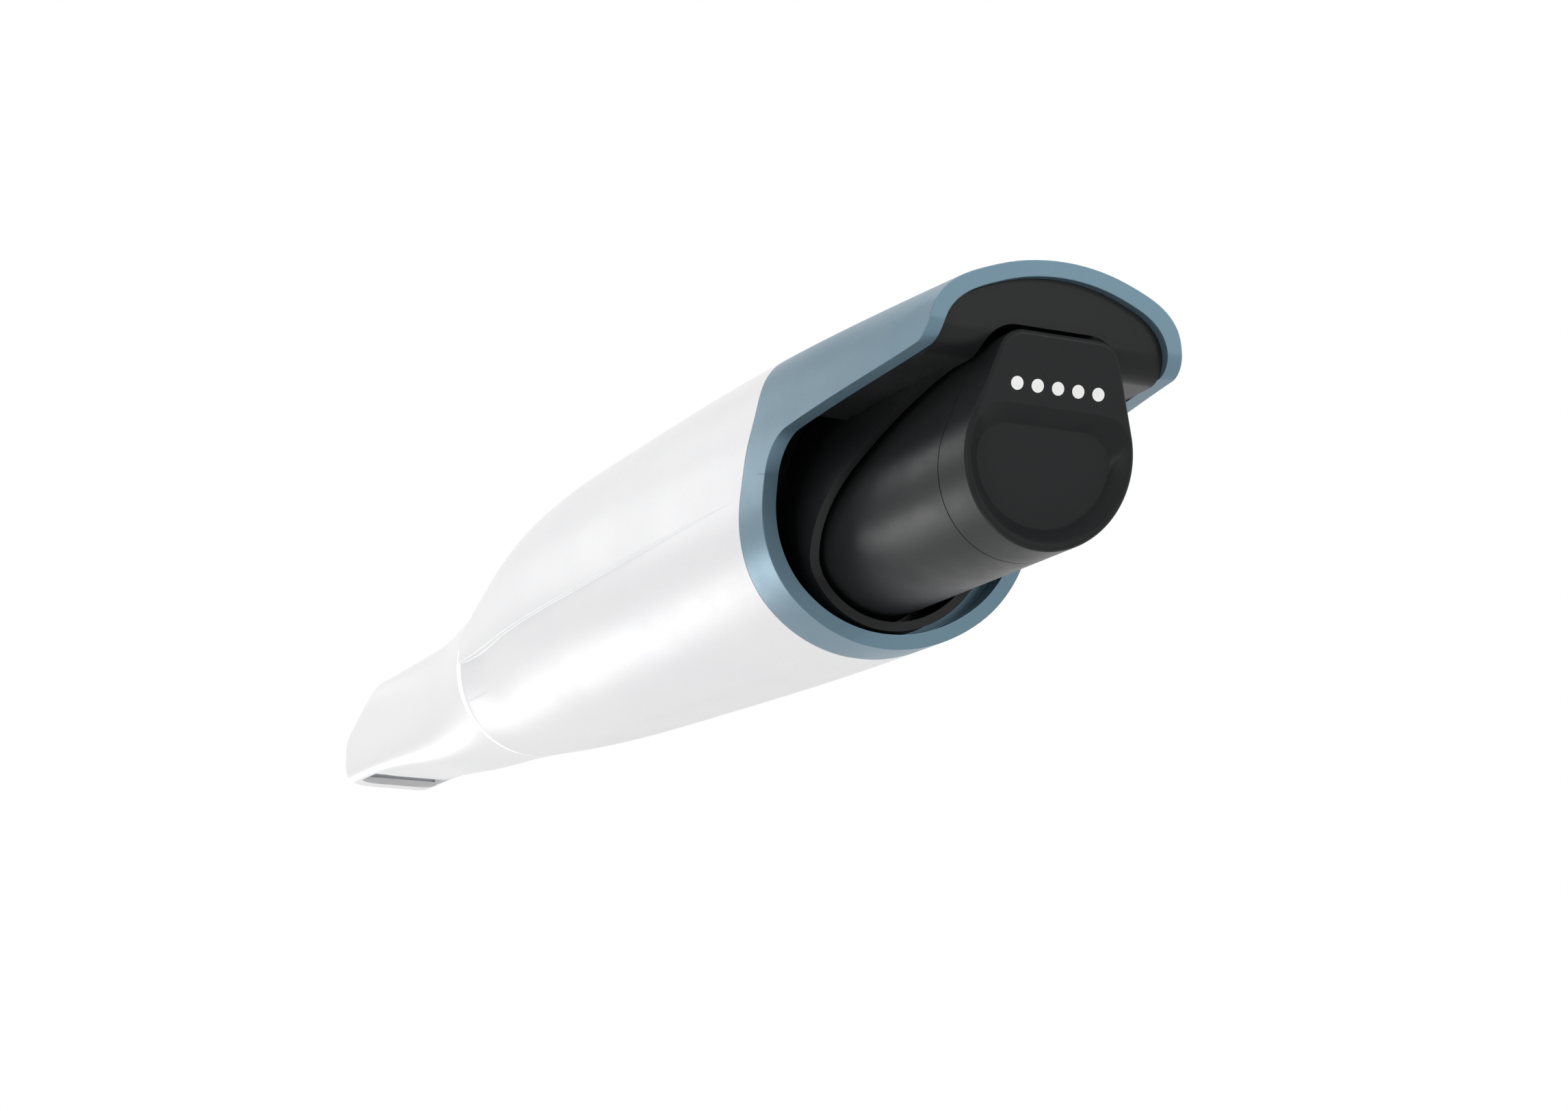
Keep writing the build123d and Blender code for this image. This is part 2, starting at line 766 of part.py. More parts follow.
def tip_sleeve():
    """Removable white sleeve with the scanning window in its underside."""
    sleeve = tip_form() - tip_hollow()
    sleeve -= rod(nose_radius + tip_fit, (chassis_end, tunnel_at + tip_seat_relief), z=optical_height)
    opening = block((window_at, window_at + window_length), (-window_width / 2, window_width / 2),
                    (-tip_bottom - overlap, -tip_bottom + tip_wall + overlap / 2))
    return sleeve - opening


def tip_mirror():
    """Flat mirror over the scanning window."""
    foot, head = mirror_line()
    shift = mirror_thickness * math.sqrt(2)
    outline = Polyline(foot, (foot[0] + shift, foot[1]), (head[0] + shift, head[1]), head, close=True)
    return side_bar(outline, [], window_width / 2)


# Chassis and optics
def channel_plate(start):
    """Plate across the channel, from its floor up."""
    room = channel + rib_root
    heights = (floor_top - rib_root, optical_height + rib_rise)
    return block((start, start + rib_thickness), (-room, room), heights)


def optical_chassis():
    """Channel that carries the optics and the main board."""
    width = (-chassis_half_width, chassis_half_width)
    chassis = block((chassis_start, chassis_end), width, (floor_bottom, side_top))
    chassis = chamfer(chassis.edges().filter_by(Axis.X).group_by(Axis.Z)[0], chassis_edge)
    inside = (floor_top, side_top + overlap)
    chassis -= block((chassis_start - overlap, chassis_end), (-channel, channel), inside)
    sill = (chassis_start, chassis_start + rib_thickness)
    chassis += block(sill, width, (floor_bottom + chassis_edge, chassis_sill_top))
    for start in (sensor_plate_at, rear_rib_at, front_rib_at):
        chassis += channel_plate(start)
    pedestal = (splitter_at, splitter_at + splitter_size)
    chassis += block(pedestal, (-pedestal_half_width, pedestal_half_width),
                     (floor_top - rib_root, optical_height - splitter_size / 2))
    chassis += rod(front_bulkhead_radius, (chassis_end, bulkhead_end), z=optical_height)
    for x in standoffs_at:
        for side in (-1, 1):
            chassis += post(standoff_radius, (side_top - overlap, board_bottom), x, side * standoff_spread)
    barrel_seat = (front_rib_at + rib_thickness, bulkhead_end + overlap)
    light_path = (rear_rib_at - overlap, barrel_seat[0] + overlap)
    chassis -= rod(focus_lens_radius + light_path_margin, light_path, z=optical_height)
    chassis -= rod(barrel_radius + lens_fit, barrel_seat, z=optical_height)
    for side in (-1, 1):
        chassis -= rod(rod_radius + rod_fit, light_path, side * rod_spread, rod_height)
        for x in chassis_screws_at:
            through = (floor_bottom - overlap, floor_top + overlap)
            chassis -= post(screw_radius + fit_gap, through, x, side * screw_spread)
        for x in standoffs_at:
            thread = (board_bottom - screw_length, board_bottom + overlap)
            chassis -= post(screw_radius, thread, x, side * standoff_spread)
    return chassis


def guide_rods():
    """Two ground rods for the focus carriage."""
    reach = (rear_rib_at, front_rib_at + rib_thickness)
    return Compound(children=[rod(rod_radius, reach, side * rod_spread, rod_height) for side in (-1, 1)])


def lens(radius, thickness, start, curve):
    """Round lens with two bulging faces, along the handle."""
    edge = rod(radius, (start, start + thickness), z=optical_height)
    front = Pos(start + curve, 0, optical_height) * Sphere(curve)
    back = Pos(start + thickness - curve, 0, optical_height) * Sphere(curve)
    return edge & front & back


def lens_barrel():
    """Barrel that holds the objective in the chassis."""
    reach = (front_rib_at + rib_thickness, bulkhead_end)
    barrel = rod(barrel_radius, reach, z=optical_height)
    barrel -= rod(barrel_radius - 2 * barrel_wall, (reach[0] - overlap, reach[1] + overlap), z=optical_height)
    seat = (reach[1] - objective_thickness, reach[1] + overlap)
    return barrel - rod(barrel_radius - barrel_wall, seat, z=optical_height)


def objective_lens():
    """Lens at the barrel's front end."""
    radius = barrel_radius - barrel_wall - lens_fit
    return lens(radius, objective_thickness, bulkhead_end - objective_thickness, objective_curve)


def focus_carriage():
    """Sliding lens holder on the guide rods."""
    side = channel - carriage_side_gap
    heights = (floor_top + magnet_thickness + magnet_gap, optical_height + carriage_rise)
    holder = block((carriage_at, carriage_at + carriage_length), (-side, side), heights)
    holder = fillet(holder.edges().filter_by(Axis.X), carriage_edge_radius)
    reach = (carriage_at - overlap, carriage_at + carriage_length + overlap)
    holder -= rod(focus_lens_radius - focus_lens_ledge, reach, z=optical_height)
    holder -= rod(focus_lens_radius, (focus_lens_at, reach[1]), z=optical_height)
    for side in (-1, 1):
        holder -= rod(rod_radius + rod_fit, reach, side * rod_spread, rod_height)
    return holder


def focus_lens():
    """Lens that slides to and fro."""
    return lens(focus_lens_radius - lens_fit, focus_lens_thickness, focus_lens_at, focus_lens_curve)


def focus_magnet():
    """Flat magnet under the carriage that drives it."""
    reach = (rear_rib_at + rib_thickness, front_rib_at)
    width = (-magnet_half_width, magnet_half_width)
    return block(reach, width, (floor_top, floor_top + magnet_thickness))


def beam_splitter():
    """Glass cube that joins the light source to the optical path."""
    cube = square_bar(splitter_size / 2, (splitter_at, splitter_at + splitter_size))
    return chamfer(cube.edges(), splitter_edge)


def sensor_board():
    """Board of the image sensor, on its plate."""
    half = sensor_board_half_width
    return block((sensor_board_at, sensor_at), (-half, half), (optical_height - half, optical_height + half))


def image_sensor():
    """Image sensor that faces the splitter."""
    return square_bar(sensor_size / 2, (sensor_at, sensor_at + sensor_thickness))


def light_holder():
    """Collar between the splitter and the light source."""
    low = optical_height + splitter_size / 2
    holder = post(light_holder_radius, (low, board_bottom - main_board_thickness), splitter_middle)
    return holder - post(light_holder_bore, (low - overlap, board_bottom), splitter_middle)


def collimator_lens():
    """Lens of the light source, inside its holder."""
    low = optical_height + splitter_size / 2 + collimator_lift
    top = low + collimator_thickness
    disc = post(light_holder_bore - lens_fit, (low, top), splitter_middle)
    return disc & Pos(splitter_middle, 0, top - collimator_curve) * Sphere(collimator_curve)


def light_board():
    """Board of the light source, under the main board."""
    half = light_holder_radius + light_board_margin
    reach = (splitter_middle - half, splitter_middle + half)
    return block(reach, (-half, half), (board_bottom - main_board_thickness, board_bottom))


def main_board():
    """Long board over the chassis."""
    reach = (chassis_start + main_board_rear_gap, chassis_end - main_board_front_gap)
    board = block(reach, (-main_board_half_width, main_board_half_width), (board_bottom, board_top))
    board = fillet(board.edges().filter_by(Axis.Z), main_board_corner_radius)
    through = (board_bottom - overlap, board_top + overlap)
    for x in standoffs_at:
        for side in (-1, 1):
            board -= post(screw_radius + fit_gap, through, x, side * standoff_spread)
    return board


def image_processor():
    """Processor on the main board."""
    start = chassis_start + processor_lead
    half = processor_size / 2
    chip = block((start, start + processor_size), (-half, half), (board_top, board_top + processor_thickness))
    return chamfer(chip.edges().group_by(Axis.Z)[-1], processor_edge)


def radio_shield():
    """Radio module's can on the main board."""
    start = button_at + switch_size
    half = radio_width / 2
    can = block((start, start + radio_length), (-half, half), (board_top, board_top + radio_height))
    return fillet(can.edges().group_by(Axis.Z)[-1], radio_edge_radius)


def screw(x, y, seat):
    """Pan-head screw that hangs from its seat."""
    head = post(screw_head_radius, (seat, seat + screw_head_height), x, y)
    head = fillet(head.edges().group_by(Axis.Z)[-1], screw_head_edge)
    head -= block((x - screw_head_radius, x + screw_head_radius),
                  (y - screw_slot_half_width, y + screw_slot_half_width),
                  (seat + screw_head_height / 2, seat + screw_head_height + overlap))
    return head + post(screw_radius - lens_fit, (seat - screw_length, seat), x, y)


def chassis_screws():
    """Screws that hold the chassis on the lower shell's posts."""
    places = [(x, side * screw_spread) for x in chassis_screws_at for side in (-1, 1)]
    return Compound(children=[screw(x, y, floor_top) for x, y in places])


def board_screws():
    """Screws that hold the main board on its standoffs."""
    places = [(x, side * standoff_spread) for x in standoffs_at for side in (-1, 1)]
    return Compound(children=[screw(x, y, board_top) for x, y in places])


PIECES = [
    collar, upper_shell, lower_shell, neck_ring, bay_housing, terminal_board, bay_pins,
    battery_case, battery_end_cap, battery_contacts, battery_cell, battery_board,
    scan_button, button_light_ring, button_switch,
    nose_tube, nose_window, tip_seal, tip_sleeve, tip_mirror,
    optical_chassis, guide_rods, lens_barrel, objective_lens, focus_carriage, focus_lens, focus_magnet,
    beam_splitter, sensor_board, image_sensor, light_holder, collimator_lens, light_board,
    main_board, image_processor, radio_shield, chassis_screws, board_screws,
]


def main():
    """Build each piece, stand the scanner on its keel over the origin, and write the files."""
    solids = {piece.__name__: piece() for piece in PIECES}
    box = Compound(children=list(solids.values())).bounding_box()
    middle = box.center()
    place = Location((-middle.X, -middle.Y, -box.min.Z))
    os.makedirs("parts", exist_ok=True)
    for name, solid in solids.items():
        export_step(place * Compound(solid.solids()), f"parts/{name}.step")
    print("origin", round(-middle.X, 4), round(-middle.Y, 4), round(-box.min.Z, 4))


main()
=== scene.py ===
"""Intraoral scanner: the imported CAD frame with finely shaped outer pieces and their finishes."""

import json
import logging
import math
from dataclasses import dataclass
from enum import Enum
from typing import Callable, NamedTuple, Sequence

import bpy
import numpy as np
from mathutils import Matrix, Vector


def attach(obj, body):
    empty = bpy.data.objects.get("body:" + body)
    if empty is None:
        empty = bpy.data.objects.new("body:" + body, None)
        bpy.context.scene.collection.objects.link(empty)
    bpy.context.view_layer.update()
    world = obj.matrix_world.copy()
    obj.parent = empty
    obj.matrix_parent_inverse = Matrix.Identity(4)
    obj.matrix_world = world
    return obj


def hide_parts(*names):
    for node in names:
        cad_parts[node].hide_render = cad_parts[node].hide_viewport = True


logging.basicConfig(level=logging.INFO, format="%(message)s")
LOG = logging.getLogger("scanner")

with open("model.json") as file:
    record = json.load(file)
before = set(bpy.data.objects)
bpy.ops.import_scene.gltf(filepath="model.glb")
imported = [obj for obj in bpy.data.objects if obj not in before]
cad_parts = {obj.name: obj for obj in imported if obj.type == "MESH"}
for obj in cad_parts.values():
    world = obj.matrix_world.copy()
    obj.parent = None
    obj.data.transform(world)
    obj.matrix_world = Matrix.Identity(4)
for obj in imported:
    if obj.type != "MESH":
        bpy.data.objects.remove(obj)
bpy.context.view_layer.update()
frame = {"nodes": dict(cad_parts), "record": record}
MM = 0.001

Point2 = tuple[float, float]
Point3 = tuple[float, float, float]
Colour = tuple[float, float, float]
Piece = bpy.types.Object
Socket = bpy.types.NodeSocket
Tree = bpy.types.NodeTree


class Body(Enum):
    """Rigid bodies that the outer pieces ride on."""

    HANDLE = "handle"
    BATTERY = "battery"
    TIP = "tip"
    BUTTON = "button"


class Cut(Enum):
    """What a boolean modifier does with its second mesh."""

    REMOVE = "DIFFERENCE"
    KEEP = "INTERSECT"
    JOIN = "UNION"


@dataclass(frozen=True)
class HandleSpace:
    """Millimetre space of the handle: the origin is the middle of the battery's end face.

    The window's mount ties it to the frame, whose origin lies on the ground.
    """

    window_middle: Point3 = (252.1, 0.0, -8.6)
    slant: float = math.radians(12.24)

    def shift(self) -> Vector:
        """Where the handle's origin lies in the frame, in metres."""
        mounts = {mount["name"]: mount for mount in frame["record"]["mounts"]}
        return Vector(mounts["scan_window"]["pos_m"]) - Vector(self.window_middle) * MM

    def place(self, point: Sequence[float]) -> Vector:
        """A point of the handle, in the frame's metres."""
        return Vector(point) * MM + self.shift()

    def slanted(self, at: float, side: float, rise: float) -> Point3:
        """A point of the slanted plane that crosses the handle's axis at one place.

        Args:
            at: Where the plane crosses the axis.
            side: Distance to the left, in the plane.
            rise: Distance upwards, in the plane.

        Returns:
            The point in handle millimetres.
        """
        return (at - rise * math.sin(self.slant), side, rise * math.cos(self.slant))


SPACE = HandleSpace()


def ring_curve(values: np.ndarray, count: int) -> np.ndarray:
    """A smooth closed run through evenly spaced values, read at a number of even steps."""
    waves = np.fft.rfft(values)
    longer = np.zeros(count // 2 + 1, dtype=complex)
    longer[:len(waves)] = waves
    return np.fft.irfft(longer, count) * count / len(values)


def spine_curve(places: np.ndarray, values: np.ndarray, wanted: np.ndarray) -> np.ndarray:
    """A natural cubic spline through values at their places, read at the wanted places."""
    steps = np.diff(places)
    slopes = np.diff(values, axis=0) / steps[:, None]
    count = len(places)
    system = np.eye(count)
    known = np.zeros((count, values.shape[1]))
    for row in range(1, count - 1):
        before, after = steps[row - 1], steps[row]
        system[row, row - 1:row + 2] = before, 2 * (before + after), after
        known[row] = 6 * (slopes[row] - slopes[row - 1])
    bend = np.linalg.solve(system, known)
    cell = np.clip(np.searchsorted(places, wanted) - 1, 0, count - 2)
    before = ((places[cell + 1] - wanted) / steps[cell])[:, None]
    after = 1 - before
    curve = (before**3 - before) * bend[cell] + (after**3 - after) * bend[cell + 1]
    straight = before * values[cell] + after * values[cell + 1]
    return straight + curve * (steps[cell] ** 2)[:, None] / 6


class Bench:
    """Hand tools: every new mesh starts as a primitive and is shaped and cut here.

    Attributes:
        SEAM: Points of a piece this close, in metres, are welded.
        FINE_SEAM: The same for a sheet with small cells.
        FLAT: Faces that turn less than this are made one.
        NEAR: A piece may follow a skin this close, in millimetres.
        MATCH: Least cosine between the piece's normal and the skin's.
    """

    SEAM = 1e-6
    FINE_SEAM = 1e-7
    FLAT = math.radians(0.2)
    NEAR = 0.35
    MATCH = 0.975

    @staticmethod
    def clear() -> None:
        """Leave edit mode with nothing selected."""
        if bpy.context.object and bpy.context.object.mode != "OBJECT":
            bpy.ops.object.mode_set(mode="OBJECT")
        bpy.ops.object.select_all(action="DESELECT")

    @classmethod
    def take(cls, piece: Piece) -> None:
        """Make one piece the only selected and active one."""
        cls.clear()
        piece.select_set(True)
        bpy.context.view_layer.objects.active = piece

    @classmethod
    def settle(cls, piece: Piece, name: str) -> Piece:
        """Name a new piece and apply its place, so that its object sits at the origin."""
        cls.take(piece)
        bpy.ops.object.transform_apply(location=True, rotation=True, scale=True)
        piece.name = name
        piece.data.name = name
        return piece

    @classmethod
    def edit(cls, piece: Piece, *steps: Callable[[], object]) -> Piece:
        """Run edit-mode steps on the whole of a piece."""
        cls.take(piece)
        bpy.ops.object.mode_set(mode="EDIT")
        bpy.ops.mesh.select_all(action="SELECT")
        for step in steps:
            step()
        bpy.ops.object.mode_set(mode="OBJECT")
        return piece

    @classmethod
    def close_tube(cls, piece: Piece) -> Piece:
        """Weld a rolled sheet's seam and close both its ends."""
        return cls.edit(
            piece,
            lambda: bpy.ops.mesh.remove_doubles(threshold=cls.SEAM),
            lambda: bpy.ops.mesh.fill_holes(sides=0),
            lambda: bpy.ops.mesh.normals_make_consistent(inside=False),
        )

    @classmethod
    def bar(cls, name: str, outline: Sequence[Point3], run: Point3) -> Piece:
        """A bar: a flat outline pushed along one direction.

        Args:
            name: Name of the new piece.
            outline: Corners of the outline in handle millimetres.
            run: The push, in handle millimetres.

        Returns:
            The closed bar.
        """
        cls.clear()
        bpy.ops.mesh.primitive_circle_add(vertices=len(outline), radius=1.0, fill_type="NGON")
        piece = cls.settle(bpy.context.object, name)
        for vertex, corner in zip(piece.data.vertices, outline):
            vertex.co = SPACE.place(corner)
        push = Vector(run) * MM
        return cls.edit(
            piece,
            lambda: bpy.ops.mesh.extrude_region_move(TRANSFORM_OT_translate={"value": push}),
            lambda: bpy.ops.mesh.select_all(action="SELECT"),
            lambda: bpy.ops.mesh.normals_make_consistent(inside=False),
        )

    @classmethod
    def rod(cls, name: str, radius: float, start: Point3, end: Point3, sides: int = 64) -> Piece:
        """A round rod between two points of the handle, with a radius in millimetres."""
        low, high = SPACE.place(start), SPACE.place(end)
        run = high - low
        cls.clear()
        bpy.ops.mesh.primitive_cylinder_add(
            vertices=sides, radius=radius * MM, depth=run.length, location=(low + high) / 2,
            rotation=run.to_track_quat("Z", "Y").to_euler(),
        )
        return cls.settle(bpy.context.object, name)

    @classmethod
    def apply(cls, piece: Piece, kind: str, **settings: object) -> Piece:
        """Put a modifier on a piece and apply it."""
        cls.take(piece)
        modifier = piece.modifiers.new(kind.title(), kind)
        for key, value in settings.items():
            setattr(modifier, key, value)
        bpy.ops.object.modifier_apply(modifier=modifier.name)
        return piece

    @classmethod
    def combine(cls, piece: Piece, other: Piece, cut: Cut) -> Piece:
        """Cut, trim or join one piece with another, which is then thrown away."""
        cls.apply(piece, "BOOLEAN", object=other, operation=cut.value, solver="EXACT")
        bpy.data.objects.remove(other, do_unlink=True)
        return piece

    @classmethod
    def ease(cls, piece: Piece, width: float, segments: int = 3, angle: float = 40.0) -> Piece:
        """Round a piece's sharp edges by a width in millimetres."""
        return cls.apply(
            piece, "BEVEL", width=width * MM, segments=segments, limit_method="ANGLE",
            angle_limit=math.radians(angle), use_clamp_overlap=True, harden_normals=False,
        )

    @classmethod
    def twin(cls, node: str) -> Piece:
        """A merged copy of a CAD node, whose flat faces are whole again, free to be finished."""
        cls.take(frame["nodes"][node])
        bpy.ops.object.duplicate(linked=False)
        piece = cls.settle(bpy.context.object, node + "_moulding")
        cls.take(piece)
        bpy.ops.mesh.customdata_custom_splitnormals_clear()
        return cls.edit(
            piece,
            lambda: bpy.ops.mesh.remove_doubles(threshold=cls.SEAM),
            lambda: bpy.ops.mesh.dissolve_limited(angle_limit=cls.FLAT),
            lambda: bpy.ops.mesh.normals_make_consistent(inside=False),
        )

    @classmethod
    def smooth(cls, piece: Piece, angle: float = 30.0) -> Piece:
        """Shade a piece smooth, with sharper edges kept crisp and large faces kept flat."""
        cls.take(piece)
        bpy.ops.object.shade_smooth_by_angle(angle=math.radians(angle))
        return cls.apply(
            piece, "WEIGHTED_NORMAL", mode="FACE_AREA_WITH_ANGLE", weight=60, keep_sharp=True,
        )

    @classmethod
    def net(cls, name: str, points: np.ndarray) -> Piece:
        """A rolled sheet through a net of handle points, open at both ends.

        Args:
            name: Name of the sheet.
            points: Handle millimetres, by place along, place around, and axis.

        Returns:
            The sheet, shaded smooth.
        """
        along, around = points.shape[0] - 1, points.shape[1] - 1
        cls.clear()
        bpy.ops.mesh.primitive_grid_add(x_subdivisions=along, y_subdivisions=around, size=1.0)
        piece = cls.settle(bpy.context.object, name)
        for vertex in piece.data.vertices:
            row = round((vertex.co.x + 0.5) * along)
            column = round((vertex.co.y + 0.5) * around)
            vertex.co = SPACE.place(points[row, column])
        cls.edit(
            piece,
            lambda: bpy.ops.mesh.remove_doubles(threshold=cls.FINE_SEAM),
            lambda: bpy.ops.mesh.normals_make_consistent(inside=False),
        )
        cls.take(piece)
        bpy.ops.object.shade_smooth()
        return piece

    @classmethod
    def follow(cls, piece: Piece, skin: Piece) -> None:
        """Give a piece a skin's even shading wherever it lies on that skin.

        Args:
            piece: The piece, already eased and smoothed.
            skin: A smooth sheet on the piece's outer surface.
        """
        group = piece.vertex_groups.new(name="on_skin")
        chosen = []
        for vertex in piece.data.vertices:
            found, place, normal, _ = skin.closest_point_on_mesh(vertex.co)
            near = found and (place - vertex.co).length < cls.NEAR * MM
            if near and normal.dot(vertex.normal) > cls.MATCH:
                chosen.append(vertex.index)
        group.add(chosen, 1.0, "REPLACE")
        cls.apply(
            piece, "DATA_TRANSFER", object=skin, use_loop_data=True,
            data_types_loops={"CUSTOM_NORMAL"}, loop_mapping="POLYINTERP_NEAREST",
            vertex_group=group.name,
        )
        piece.vertex_groups.remove(piece.vertex_groups["on_skin"])
        LOG.info("%s follows %s at %d points", piece.name, skin.name, len(chosen))


def srgb(red: int, green: int, blue: int) -> Colour:
    """A colour as seen on a screen, 0 to 255, in the linear values that shaders use."""

    def linear(level: int) -> float:
        """One channel in linear light."""
        share = level / 255
        return share / 12.92 if share <= 0.04045 else ((share + 0.055) / 1.055) ** 2.4

    return (linear(red), linear(green), linear(blue))


class Graph:
    """Adds nodes to one tree and wires them."""

    def __init__(self, tree: Tree) -> None:
        """Work on this tree."""
        self.tree = tree

    def add(
        self, kind: str, values: dict[str, object] | None = None, **settings: object,
    ) -> bpy.types.Node:
        """Add a node.

        Args:
            kind: Blender's name for the node type, without its ShaderNode prefix.
            values: Inputs by name: another node's output is linked, anything else is set.
            settings: Properties of the node itself.

        Returns:
            The new node.
        """
        node = self.tree.nodes.new(kind if kind.startswith("Node") else "ShaderNode" + kind)
        for key, value in settings.items():
            setattr(node, key, value)
        for key, value in (values or {}).items():
            self.feed(node.inputs[key], value)
        return node

    def feed(self, socket: Socket, value: object) -> None:
        """Link an output to an input, or set the input."""
        if isinstance(value, Socket):
            self.tree.links.new(value, socket)
        elif socket.type == "RGBA":
            socket.default_value = (*value, 1.0)
        else:
            socket.default_value = value

    def math(self, operation: str, first: object, second: object) -> Socket:
        """One sum on two values."""
        return self.add("Math", {0: first, 1: second}, operation=operation).outputs[0]

    def weigh(self, first: object, second: object, share: float) -> Socket:
        """The sum of two values, the first with this share and the second with the rest."""
        rest = self.math("MULTIPLY", second, 1 - share)
        return self.math("ADD", self.math("MULTIPLY", first, share), rest)

    def spread(
        self, value: object, low: float, high: float, to_low: object = 0.0, to_high: object = 1.0,
    ) -> Socket:
        """Map a value from one range to another, held inside it."""
        node = self.add("MapRange", {"Value": value, "From Min": low, "From Max": high})
        self.feed(node.inputs["To Min"], to_low)
        self.feed(node.inputs["To Max"], to_high)
        return node.outputs["Result"]

    def blend(self, share: object, first: object, second: object) -> Socket:
        """Mix two colours."""
        node = self.add("Mix", data_type="RGBA")
        self.feed(node.inputs[0], share)
        self.feed(node.inputs[6], first)
        self.feed(node.inputs[7], second)
        return node.outputs[2]

    def noise(
        self, vector: object, scale: object, detail: float = 2.0, roughness: float = 0.5,
    ) -> Socket:
        """A soft random pattern, from 0 to 1."""
        values = {"Vector": vector, "Scale": scale, "Detail": detail, "Roughness": roughness}
        return self.add("TexNoise", values).outputs["Fac"]


class Groups:
    """Shader groups that several finishes share.

    Attributes:
        SHARED: Inputs that both groups have, and their kinds.
        RESULTS: Outputs of both groups, and their kinds.
        SOFT: The narrow middle of a noise, for moulded surfaces.
        WIDE: A wider middle, for metal.
        DRAWN: Stretch that turns a noise into lines along x.
        CLOUDS: Scale of the slow tone on metal.
    """

    SHARED = {"Vector": "Vector", "Tone": "Color", "Shade": "Color"}
    RESULTS = {"Colour": "Color", "Roughness": "Float", "Height": "Float"}
    SOFT = (0.35, 0.65)
    WIDE = (0.3, 0.7)
    DRAWN = (1.0, 0.06, 0.06)
    CLOUDS = 90.0

    @classmethod
    def start(cls, name: str, sizes: Sequence[str]) -> tuple[Graph, dict, bpy.types.Node]:
        """Open a new group: its graph, its inputs by name, and the node for its outputs."""
        inputs = cls.SHARED | {size: "Float" for size in sizes}
        tree = bpy.data.node_groups.new(name, "ShaderNodeTree")
        for way, sockets in (("INPUT", inputs), ("OUTPUT", cls.RESULTS)):
            for key, kind in sockets.items():
                tree.interface.new_socket(name=key, in_out=way, socket_type="NodeSocket" + kind)
        graph = Graph(tree)
        return graph, graph.add("NodeGroupInput").outputs, graph.add("NodeGroupOutput")

    @classmethod
    def moulding(cls) -> Tree:
        """Moulded surface: slow drift of tone, fine grain, and faint smears of handling."""
        sizes = ("Grain", "Drift", "Smooth", "Rough")
        graph, given, result = cls.start("Moulded Surface", sizes)
        place, fine, slow = given["Vector"], given["Grain"], given["Drift"]
        drift = graph.noise(place, slow, detail=3.0, roughness=0.55)
        grain = graph.noise(place, fine, detail=1.0, roughness=0.6)
        pits = graph.noise(place, graph.math("MULTIPLY", fine, 2.7), detail=1.0)
        smear = graph.noise(place, graph.math("MULTIPLY", slow, 3.1), detail=4.0, roughness=0.65)
        tone = graph.spread(graph.weigh(drift, grain, share=0.75), *cls.SOFT)
        wear = graph.weigh(smear, grain, share=0.7)
        rough = graph.spread(wear, *cls.SOFT, given["Smooth"], given["Rough"])
        graph.feed(result.inputs["Colour"], graph.blend(tone, given["Tone"], given["Shade"]))
        graph.feed(result.inputs["Roughness"], rough)
        graph.feed(result.inputs["Height"], graph.weigh(grain, pits, share=0.65))
        return graph.tree

    @classmethod
    def machining(cls) -> Tree:
        """Turned or ground metal: fine lines drawn out along one direction."""
        graph, given, result = cls.start("Machined Lines", ("Lines", "Smooth", "Rough"))
        place = given["Vector"]
        drawn = graph.add("Mapping", {"Vector": place, "Scale": cls.DRAWN}).outputs["Vector"]
        lines = graph.noise(drawn, given["Lines"], detail=3.0, roughness=0.6)
        tone = graph.spread(graph.noise(place, cls.CLOUDS), *cls.WIDE)
        rough = graph.spread(lines, *cls.WIDE, given["Smooth"], given["Rough"])
        graph.feed(result.inputs["Colour"], graph.blend(tone, given["Tone"], given["Shade"]))
        graph.feed(result.inputs["Roughness"], rough)
        graph.feed(result.inputs["Height"], lines)
        return graph.tree


MOULDING = Groups.moulding()
MACHINING = Groups.machining()


@dataclass(frozen=True)
class Look:
    """Something that pieces are dressed in."""

    name: str

    def material(self) -> bpy.types.Material:
        """The look as a material, made once."""
        if self.name in bpy.data.materials:
            return bpy.data.materials[self.name]
        material = bpy.data.materials.new(self.name)
        material.use_nodes = True
        self.wire(material.node_tree)
        return material

    def wire(self, tree: Tree) -> None:
        """Build the look's shader in a new material's tree."""
        raise NotImplementedError

    def dress(self, piece: Piece) -> None:
        """Give a piece this look in its only slot."""
        piece.data.materials.clear()
        piece.data.materials.append(self.material())


